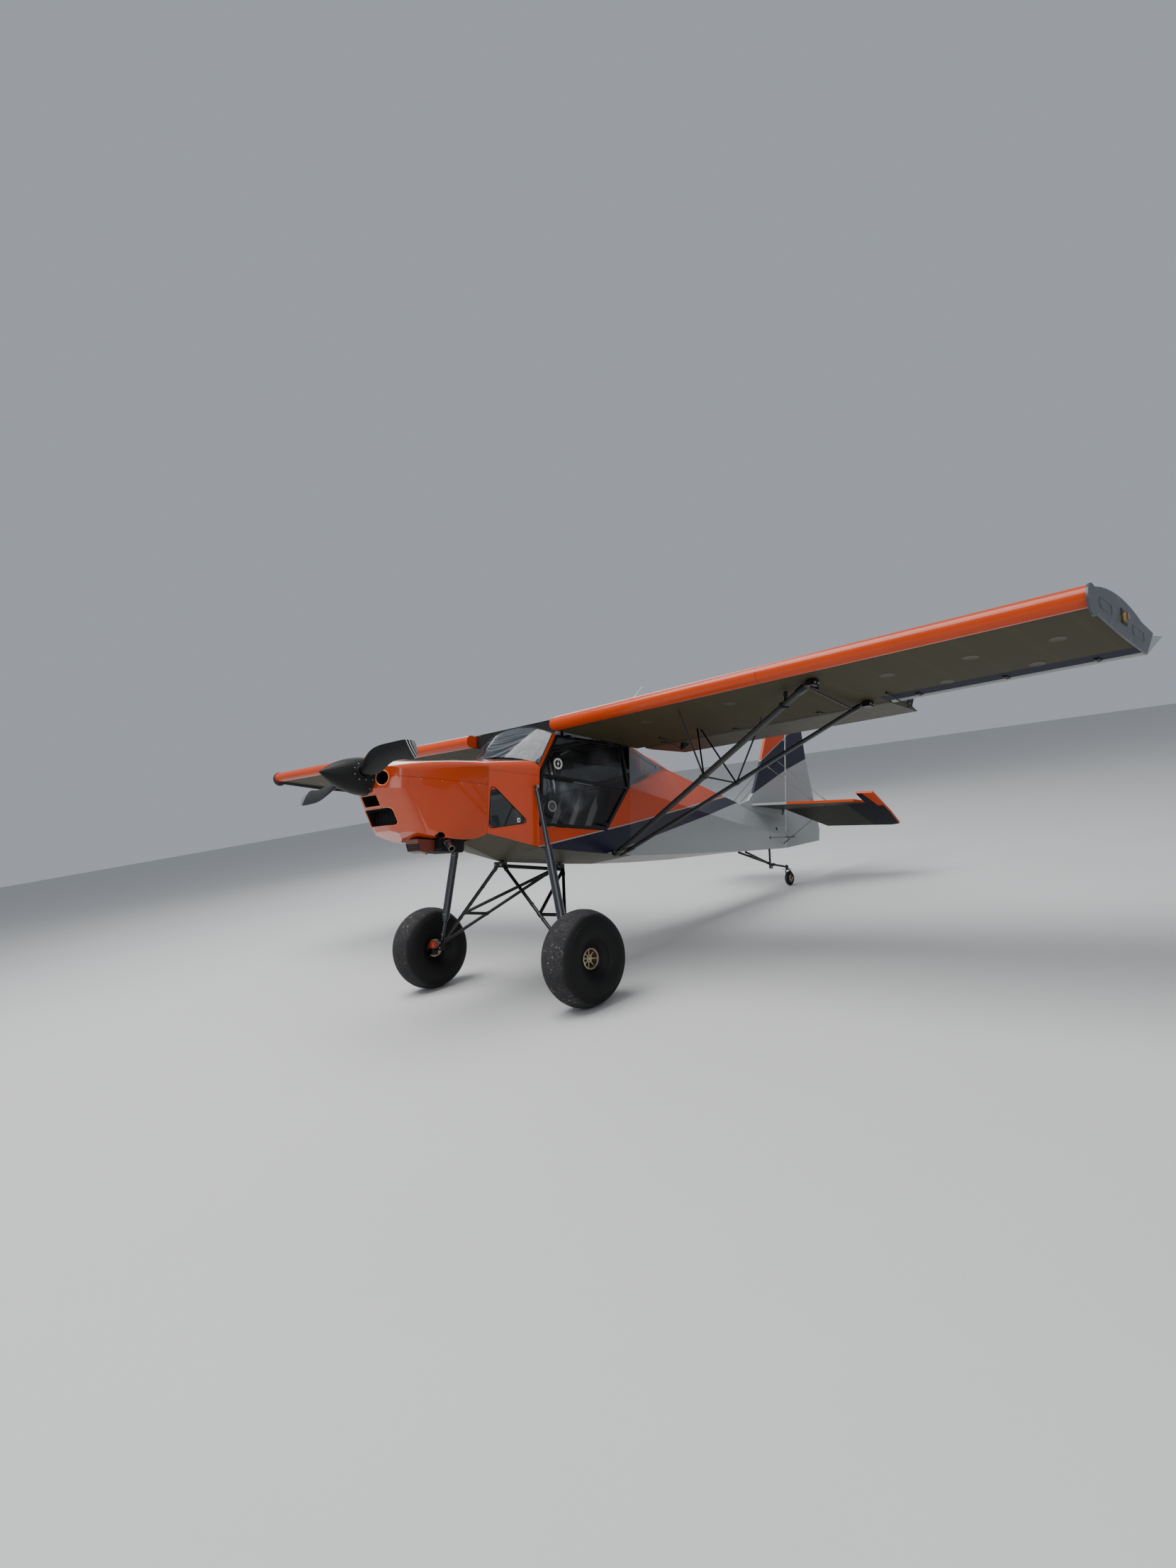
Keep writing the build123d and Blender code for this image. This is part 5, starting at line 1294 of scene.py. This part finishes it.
# outline of a horn and place of the rod's end, from the hinge
HORN = ((-0.022, -0.06), (-0.11, -0.064), (-0.026, -0.125), (-0.006, -0.125))
ROD_END = (-0.016, -0.116)
for name, side in SIDES:
    for kind, y in (("flap", 1.06), ("aileron", 3.2)):
        body = f"{kind}_{name}"
        turn = Matrix.Rotation(-radians(droop[body]), 3, "Y")
        hinge = Vector((HINGE_X, y * side, HINGE_Z + wing_rise(y)))

        def turned(x, z, across=0.0):
            """A place on the surface from its distance to the hinge."""
            return hinge + turn @ Vector((x, across, z))

        bm = bmesh.new()
        for across in (-0.012, 0.012):
            horn = [turned(x, z, across) for x, z in HORN]
            add_slab(bm, horn, (0, 0.003, 0))
        add_bolt(bm, turned(*ROD_END, -0.014), (0, -1, 0), 0.006, 0.005)
        add_bolt(bm, turned(*ROD_END, 0.016), (0, 1, 0), 0.006, 0.005)
        finish_mesh(f"{kind}_horn_{name}", bm, "dark_steel", body)
        bm = bmesh.new()
        far = turned(*ROD_END)
        near = Vector((-1.36, y * side, 0.488 + wing_rise(y)))
        add_tube(bm, [along(near, far, k / 20) for k in range(21)], [0.008] + [0.0055] * 19 + [0.007], 12)
        rod = finish_mesh(f"{kind}_pushrod_{name}", bm, "dark_steel", None)
        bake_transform(rod)

# Strut bolts and head straps, and the small camera clamped to the left front strut
front_foot, front_head = (-1.337, 0.54, -0.524), (-0.72, 3.0, 0.555)
rear_foot, rear_head = (-1.404, 0.54, -0.524), (-1.49, 3.0, 0.534)
bm, cuffs = bmesh.new(), bmesh.new()
for name, side in SIDES:
    for x, z in ((-0.7, 0.53), (-0.742, 0.53), (-1.47, 0.508), (-1.512, 0.508)):
        add_bolt(bm, (x, 3.02 * side, z), (0, side, 0), 0.008, 0.008)
        add_bolt(bm, (x, 2.96 * side, z), (0, -side, 0), 0.008, 0.006)
    for x in (-1.425, -1.385, -1.335, -1.31):
        add_bolt(bm, (x, 0.551 * side, -0.5), (0, side, 0), 0.007, 0.006)
    for foot, head_end, chord, thick in ((front_foot, front_head, 0.07, 0.038),
                                         (rear_foot, rear_head, 0.058, 0.034)):
        foot, head_end = mirrored(foot, side), mirrored(head_end, side)
        run = toward(foot, head_end)
        for share, length in ((0.045, 0.1), (0.955, 0.09), (0.52, 0.05)):
            add_block(cuffs, along(foot, head_end, share), (length, thick, chord), run, (1, 0, 0), 0.012)
finish_mesh("strut_bolts", bm, "steel")
finish_mesh("strut_cuffs", cuffs, "tube")
bm = bmesh.new()
spot = along(front_foot, front_head, 0.885)
strut_run = toward(front_foot, front_head)
lens_run = Vector((0.55, -0.8, 0.0)).normalized()
add_block(bm, spot, (0.026, 0.042, 0.074), strut_run, (1, 0, 0), 0.008)
add_tube(bm, (spot + Vector((0, 0, 0.01)), spot + Vector((-0.02, 0, 0.055))), 0.008, 12)
add_block(bm, spot + Vector((-0.025, 0, 0.08)), (0.024, 0.06, 0.044), lens_run, (0, 0, 1), 0.006)
add_lathe(bm, ((0.0, 0.02), (0.009, 0.02), (0.013, 0.018), (0.0135, 0.008), (0.0, 0.008)),
          spot + Vector((-0.025, 0.004, 0.084)), lens_run, 24, 1)
finish_mesh("strut_camera", bm, ("trim", "dial_glass"))

# Tail: rudder hinges, horn and cables, lamp, wire ends, access hole
rudder_foot, rudder_head = Vector((-4.985, 0, -0.283)), Vector((-5.03, 0, 1.24))
post = toward(rudder_foot, rudder_head)
bm = bmesh.new()
for share in (0.12, 0.62, 0.9):
    centre = along(rudder_foot, rudder_head, share)
    add_tube(bm, (centre - post * 0.022, centre + post * 0.022), 0.0205, 16)
    add_block(bm, centre + Vector((0.03, 0, 0)), (0.05, 0.042, 0.02), (1, 0, 0), post, 0.003)
finish_mesh("rudder_hinges", bm, "pale")
horn_z = -0.15
horn_x = rudder_foot.x + (horn_z - rudder_foot.z) * post.x / post.z
bm = bmesh.new()
add_block(bm, (horn_x - 0.004, 0, horn_z), (0.046, 0.26, 0.007), bevel=0.002)
for side in (1, -1):
    add_bolt(bm, (horn_x - 0.004, 0.118 * side, horn_z + 0.003), (0, 0, 1), 0.006, 0.006)
finish_mesh("rudder_horn", bm, "dark_steel", "rudder")
tail_skin = skins("rear_fuselage")
holes = bmesh.new()
for name, side in SIDES:
    far = Vector((horn_x - 0.004, 0.118 * side, horn_z + 0.004))
    near, normal = beside(tail_skin, side, -4.5, -0.185, 0.001)
    bm = bmesh.new()
    add_tube(bm, [along(near, far, k / 24) for k in range(25)],
             [0.0022] * 18 + [0.0045] * 4 + [0.003, 0.003, 0.0022], 8)
    cable = finish_mesh(f"rudder_cable_{name}", bm, "wire", None)
    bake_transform(cable)
    grommet = ((0.0, 0.0015), (0.01, 0.0015), (0.016, 0.0005), (0.018, -0.002), (0.0, -0.002))
    add_lathe(holes, grommet, near, normal, 20)
    place, normal = beside(tail_skin, side, -4.72, -0.06)
    hole = ((0.0, 0.0006), (0.014, 0.0006), (0.018, 0.002), (0.021, 0.0008), (0.021, -0.002), (0.0, -0.002))
    add_lathe(holes, hole, place, normal, 28)
finish_mesh("tail_grommets", holes, "gasket")
bm = bmesh.new()
lamp_place, lamp_run = (-5.374, 0, 1.268), (-1, 0, 0.12)
base = ((0.0, -0.01), (0.021, -0.01), (0.021, 0.012), (0.017, 0.018), (0.0, 0.018))
add_lathe(bm, base, lamp_place, lamp_run, 28)
add_lathe(bm, ((0.016, 0.016), (0.016, 0.026), (0.01, 0.034), (0.0, 0.036)), lamp_place, lamp_run, 28, 1)
finish_mesh("tail_lamp", bm, ("white", "lamp"), "rudder")
bm = bmesh.new()
wire_ends = (((-4.82, 0.018, 0.8), (-4.86, 0.7, 0.218)), ((-4.56, 0.018, 0.72), (-4.64, 0.64, 0.218)),
             ((-4.9, 0.022, -0.24), (-4.86, 0.7, 0.192)))
for name, side in SIDES:
    for start, end in wire_ends:
        start, end = mirrored(start, side), mirrored(end, side)
        for a, b in ((start, end), (end, start)):
            turnbuckle = [a + toward(a, b) * d for d in (0.004, 0.022, 0.03, 0.105, 0.115)]
            add_tube(bm, turnbuckle, (0.0045, 0.0045, 0.006, 0.006, 0.0035), 10)
        up = Vector((0, 0, 1 if end.z > 0.2 else -1))
        add_bolt(bm, end + up * 0.001, up, 0.008, 0.006)
finish_mesh("wire_ends", bm, "wire")

# Elevator: the horn under its middle, and the trim tab's line and hinges
elevator_hinge = Vector((-4.925, 0, 0.205))
drop = Matrix.Rotation(-radians(24), 3, "Y")
bm = bmesh.new()
for y in (-0.03, 0.03):
    horn = [Vector((x, y, z)) for x, z in ((0.016, 0.0), (-0.016, 0.0), (-0.01, -0.088), (0.006, -0.088))]
    add_slab(bm, [elevator_hinge + drop @ p for p in horn], (0, 0.003, 0))
finish_mesh("elevator_horn", bm, "dark_steel", "elevator")
bm = bmesh.new()
for name, side in SIDES:
    tab = [Vector((x, y * side, z)) for x, y, z in ((-0.345, 0.3, 0.015), (-0.445, 0.74, 0.015))]
    add_tube(bm, [elevator_hinge + drop @ p for p in tab], 0.0022, 8)
    for share in (0.1, 0.5, 0.9):
        place = elevator_hinge + drop @ along(*tab, share)
        add_block(bm, place, (0.03, 0.01, 0.006), drop @ Vector((0.2, 1, 0)), drop @ Vector((0, 0, 1)),
                  0.001)
finish_mesh("trim_tab_hinges", bm, "steel", "elevator")

# Gear: hinge bolts, leg clamps, shock collars and end bolts, brake calipers and lines
bm, clamps, shocks, brakes, lines = (bmesh.new() for _ in range(5))
# share along the shock strut, radius and half length of each collar
COLLARS = ((0.03, 0.0245, 0.01), (0.385, 0.03, 0.012), (0.405, 0.0375, 0.01), (0.6, 0.0368, 0.004),
           (0.815, 0.0375, 0.012), (0.85, 0.027, 0.014), (0.955, 0.0205, 0.01))
leg_end = (-0.43, 0.852, -1.335)
shock_head, shock_end = (-0.388, 0.522, 0.017), (-0.43, 0.868, -1.322)
for x, top in ((-0.428, -0.6022), (-1.117, -0.6002)):
    for y in (-0.042, 0.042):
        for end in (-1, 1):
            add_bolt(bm, (x + 0.03 * end, y, top - 0.024), (end, 0, 0), 0.0085, 0.008)
for name, side in SIDES:
    front, rear = mirrored((-0.428, 0.04, -0.634), side), mirrored((-1.117, 0.07, -0.65), side)
    end = mirrored(leg_end, side)
    for start, share in ((front, 0.045), (front, 0.6), (rear, 0.06), (rear, 0.6), (front, 0.955),
                         (rear, 0.965)):
        run = toward(start, end)
        centre = along(start, end, share)
        add_tube(clamps, [centre + run * d for d in (-0.019, -0.015, 0.015, 0.019)],
                 (0.0155, 0.0185, 0.0185, 0.0155), 16)
    head, foot = mirrored(shock_head, side), mirrored(shock_end, side)
    run = toward(head, foot)
    for share, radius, half in COLLARS:
        centre = along(head, foot, share)
        add_tube(shocks, [centre + run * half * d for d in (-1.0, -0.75, 0.75, 1.0)],
                 (radius - 0.003, radius, radius, radius - 0.003), 24)
    add_bolt(bm, head + Vector((0, 0.019 * side, 0.004)), (0, side, 0), 0.011, 0.01)
    add_tube(shocks, (head + Vector((-0.02, 0, 0)), head + Vector((0.02, 0, 0))), 0.012, 16)
    add_bolt(bm, (-0.43, 0.889 * side, -1.345), (0, side, 0), 0.01, 0.008)
    for z in (-1.335, -1.385):
        add_bolt(bm, (-0.406, 0.868 * side, z), (1, 0, 0), 0.0075, 0.007)
        add_bolt(bm, (-0.454, 0.868 * side, z), (-1, 0, 0), 0.0075, 0.007)
    caliper = Vector((-0.382, 0.94 * side, -1.358))
    add_block(brakes, caliper, (0.073, 0.063, 0.063), bevel=0.009)
    for dx in (-0.02, 0.02):
        add_bolt(brakes, caliper + Vector((dx, -0.0315 * side, 0.0)), (0, -side, 0), 0.006, 0.005, 1)
    nipple = caliper + Vector((0.0, -0.05 * side, 0.03))
    add_tube(brakes, (caliper + Vector((0.0, -0.03 * side, 0.022)), nipple), 0.005, 10, slot=1)
    lead = [nipple, mirrored((-0.4, 0.85, -1.3), side)]
    lead += [along(end, front, share) + Vector((0.0175, 0, 0.006))
             for share in (0.1, 0.25, 0.4, 0.55, 0.7, 0.85, 0.95)]
    add_tube(lines, lead, 0.003, 8)
    for share in (0.14, 0.34, 0.52, 0.74):
        centre = along(end, front, share)
        add_tube(lines, circle(centre, front - end, 0.018, 20), 0.0018, 6, True)
finish_mesh("gear_bolts", bm, "steel")
finish_mesh("gear_sleeves", clamps, "tube")
finish_mesh("shock_collars", shocks, "shock")
finish_mesh("brake_calipers", brakes, ("red", "steel"))
finish_mesh("brake_lines", lines, "gasket")

# Wheels: smooth balloon tyres in place of the plain ones, hub caps, wheel bolts and valves
AXLE = Vector((-0.43, 1.06, -1.388))
TYRE = ((0.0842, 0.072), (0.1, 0.088), (0.13, 0.112), (0.19, 0.1535), (0.258, 0.1645), (0.32, 0.142),
        (0.352, 0.108),
        (0.374, 0.062), (0.3835, 0.024))


def smooth_line(points, per):
    """A soft curve through points, as a list of points."""
    points = [Vector(p) for p in points]
    out = []
    for i in range(len(points) - 1):
        a, b = points[i], points[i + 1]
        before = points[i - 1] if i else a * 2 - b
        after = points[i + 2] if i + 2 < len(points) else b * 2 - a
        for k in range(per):
            t = k / per
            out.append(0.5 * (2 * a + (b - before) * t + (2 * before - 5 * a + 4 * b - after) * t ** 2
                              + (3 * a - before - 3 * b + after) * t ** 3))
    return out + [points[-1]]


outer_half = smooth_line(TYRE, 5)
outer_line = outer_half + [Vector((p.x, -p.y)) for p in reversed(outer_half)]
tyre_line = [(min(p.x, 0.3848), p.y) for p in outer_line]
tyre_line += [(0.0842, -0.06), (0.0842, 0.06), tyre_line[0]]
for name, side in SIDES:
    axle = mirrored(AXLE, side)
    body = f"wheel_{name}"
    bm = bmesh.new()
    add_lathe(bm, tyre_line, axle, (0, side, 0), 144)
    for radius, out in ((0.104, 0.0935), (0.15, 0.1285), (0.3, 0.1525)):
        for face in (1, -1):
            add_tube(bm, circle(axle + Vector((0, out * face * side, 0)), (0, 1, 0), radius, 120), 0.0022,
                     6, True)
    tyre = finish_mesh(f"balloon_tyre_{name}", bm, "rubber", body, 60.0)
    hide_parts(f"tyre_{name}")
    bm = bmesh.new()
    cap = ((0.0, 0.071), (0.012, 0.07), (0.017, 0.064), (0.019, 0.0595), (0.026, 0.0595), (0.0275, 0.0545),
           (0.0, 0.0545))
    add_lathe(bm, cap, axle, (0, side, 0), 28)
    for k in range(8):
        turn = pi / 8 + pi * k / 4
        out = Vector((cos(turn), 0, sin(turn)))
        add_bolt(bm, axle + out * 0.0205 + Vector((0, 0.0545 * side, 0)), (0, side, 0), 0.003, 0.003)
        add_bolt(bm, axle + out * 0.078 + Vector((0, 0.078 * side, 0)), (0, side, 0), 0.0045, 0.004)
    lip = ((0.072, 0.06), (0.0842, 0.064), (0.0842, 0.079), (0.078, 0.082), (0.072, 0.079), (0.072, 0.06))
    add_lathe(bm, lip, axle, (0, side, 0), 72)
    stem = axle + Vector((0.062, 0.06 * side, 0.024))
    add_tube(bm, (stem, stem + Vector((-0.004, 0.026 * side, -0.002))), 0.003, 10, slot=1)
    finish_mesh(f"wheel_hardware_{name}", bm, ("rim", "gasket"), body)

# Tail wheel: rolled tyre, hub, and the fork's axle nuts and steering arm
TAIL_AXLE = Vector((-5.054, 0, -0.66))
tail_half = smooth_line(((0.048, 0.0235), (0.062, 0.024), (0.076, 0.02), (0.086, 0.011), (0.0895, 0.004)), 5)
tail_line = [(p.x, p.y) for p in tail_half] + [(p.x, -p.y) for p in reversed(tail_half)]
bm = bmesh.new()
add_lathe(bm, tail_line + [tail_line[0]], TAIL_AXLE, (0, 1, 0), 72)
tyre = finish_mesh("tail_tyre", bm, "tail_rubber", "tail_wheel", 60.0)
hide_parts("tail_wheel")
bm = bmesh.new()
hub = ((0.0075, 0.021), (0.014, 0.021), (0.017, 0.015), (0.036, 0.012), (0.046, 0.0205), (0.0485, 0.0205),
       (0.0485, -0.0205), (0.046, -0.0205),
       (0.036, -0.012), (0.017, -0.015), (0.014, -0.021), (0.0075, -0.021), (0.0075, 0.021))
add_lathe(bm, hub, TAIL_AXLE, (0, 1, 0), 48)
for k in range(5):
    out = Vector((cos(2 * pi * k / 5), 0, sin(2 * pi * k / 5)))
    for face in (1, -1):
        add_bolt(bm, TAIL_AXLE + out * 0.027 + Vector((0, 0.0135 * face, 0)), (0, face, 0), 0.0035, 0.003)
finish_mesh("tail_wheel_hub", bm, "rim", "tail_wheel")
bm = bmesh.new()
for face in (1, -1):
    add_bolt(bm, TAIL_AXLE + Vector((0, 0.045 * face, 0)), (0, face, 0), 0.0095, 0.008)
up = Vector((sin(PITCH), 0, cos(PITCH)))
pivot = Vector((-5.0, 0, -0.52)) - up * 0.027
for face in (1, -1):
    add_tube(bm, (pivot, pivot + Vector((0.004, 0.052 * face, 0))), 0.0055, 12)
    add_lathe(bm, ((0.0, 0.004), (0.01, 0.004), (0.01, -0.004), (0.0, -0.004)),
              pivot + Vector((0.004, 0.054 * face, 0)), up, 16)
finish_mesh("tail_fork_hardware", bm, "steel", "tail_fork")
bm = bmesh.new()
knee = Vector((-4.64, 0, -0.496))
for y in (0.05, -0.05):
    start = Vector((-4.058, y, -0.375))
    centre = along(start, knee, 0.93)
    run = toward(start, knee)
    add_tube(bm, (centre - run * 0.018, centre + run * 0.018), 0.0165, 16)
add_block(bm, (-4.7, 0, -0.5), (0.05, 0.036, 0.034), (-0.36, 0, -0.024), (0, 0, 1), 0.005)
add_bolt(bm, Vector((-5.0, 0, -0.52)) + up * 0.017, up, 0.011, 0.01)
finish_mesh("tail_arm_clamps", bm, "dark_steel")


# Stage
FLOOR_REACH = 60.0
# the photograph's height and its focal length in pixels, and the sensor's height in millimetres
PHOTO_HEIGHT, FOCAL, SENSOR = 2212.0, 1215.413, 24.0
CAMERA_PLACE = (6.63893, 6.01092, 1.8725)
YAW, NOD, ROLL = -2.354029, -0.0206012, -0.1552136
# name, place, aim, size, power
LAMPS = (
    ("key", (5.0, -2.0, 13.0), (0.0, 0.0, 1.0), 11.0, 2500.0),
    ("fill", (9.0, 10.0, 6.0), (0.0, 0.0, 1.0), 9.0, 420.0),
    ("rim", (-8.0, -10.0, 9.0), (0.0, 0.0, 1.5), 9.0, 500.0),
)


def build_stage():
    """Pale floor, soft light and the camera at the photograph's place."""
    bm = bmesh.new()
    square = ((-1, -1), (1, -1), (1, 1), (-1, 1))
    bm.faces.new([bm.verts.new((x * FLOOR_REACH, y * FLOOR_REACH, 0.0)) for x, y in square])
    mesh = bpy.data.meshes.new("floor")
    bm.to_mesh(mesh)
    bm.free()
    floor = bpy.data.objects.new("floor", mesh)
    bpy.context.scene.collection.objects.link(floor)
    net = Net("studio_floor")
    tone = net.noise(0.6, 3.0, 0.5)
    net.set(Base_Color=net.mix(tone, (0.56, 0.56, 0.55), (0.6, 0.6, 0.59)), Roughness=0.85)
    mesh.materials.append(net.material)

    world = bpy.data.worlds.new("studio")
    bpy.context.scene.world = world
    world.use_nodes = True
    back = world.node_tree.nodes["Background"]
    back.inputs[0].default_value = (0.8, 0.86, 0.95, 1.0)
    back.inputs[1].default_value = 0.44

    for name, place, aim, size, power in LAMPS:
        light = bpy.data.lights.new(name, "AREA")
        light.size = size
        light.energy = power
        lamp = bpy.data.objects.new(name, light)
        lamp.location = place
        lamp.rotation_euler = (Vector(aim) - Vector(place)).to_track_quat("-Z", "Y").to_euler()
        bpy.context.scene.collection.objects.link(lamp)

    ahead = Vector((cos(YAW) * cos(NOD), sin(YAW) * cos(NOD), sin(NOD)))
    level_right = Vector((sin(YAW), -cos(YAW), 0.0))
    level_up = level_right.cross(ahead)
    right = level_right * cos(ROLL) + level_up * sin(ROLL)
    up = level_up * cos(ROLL) - level_right * sin(ROLL)
    camera = bpy.data.cameras.new("camera")
    camera.sensor_fit = "VERTICAL"
    camera.sensor_height = SENSOR
    camera.lens = SENSOR * FOCAL / PHOTO_HEIGHT
    camera.clip_end = 300.0
    holder = bpy.data.objects.new("camera", camera)
    turn = Matrix((right, up, -ahead)).transposed().to_4x4()
    holder.matrix_world = Matrix.Translation(CAMERA_PLACE) @ turn
    bpy.context.scene.collection.objects.link(holder)
    bpy.context.scene.camera = holder


build_stage()
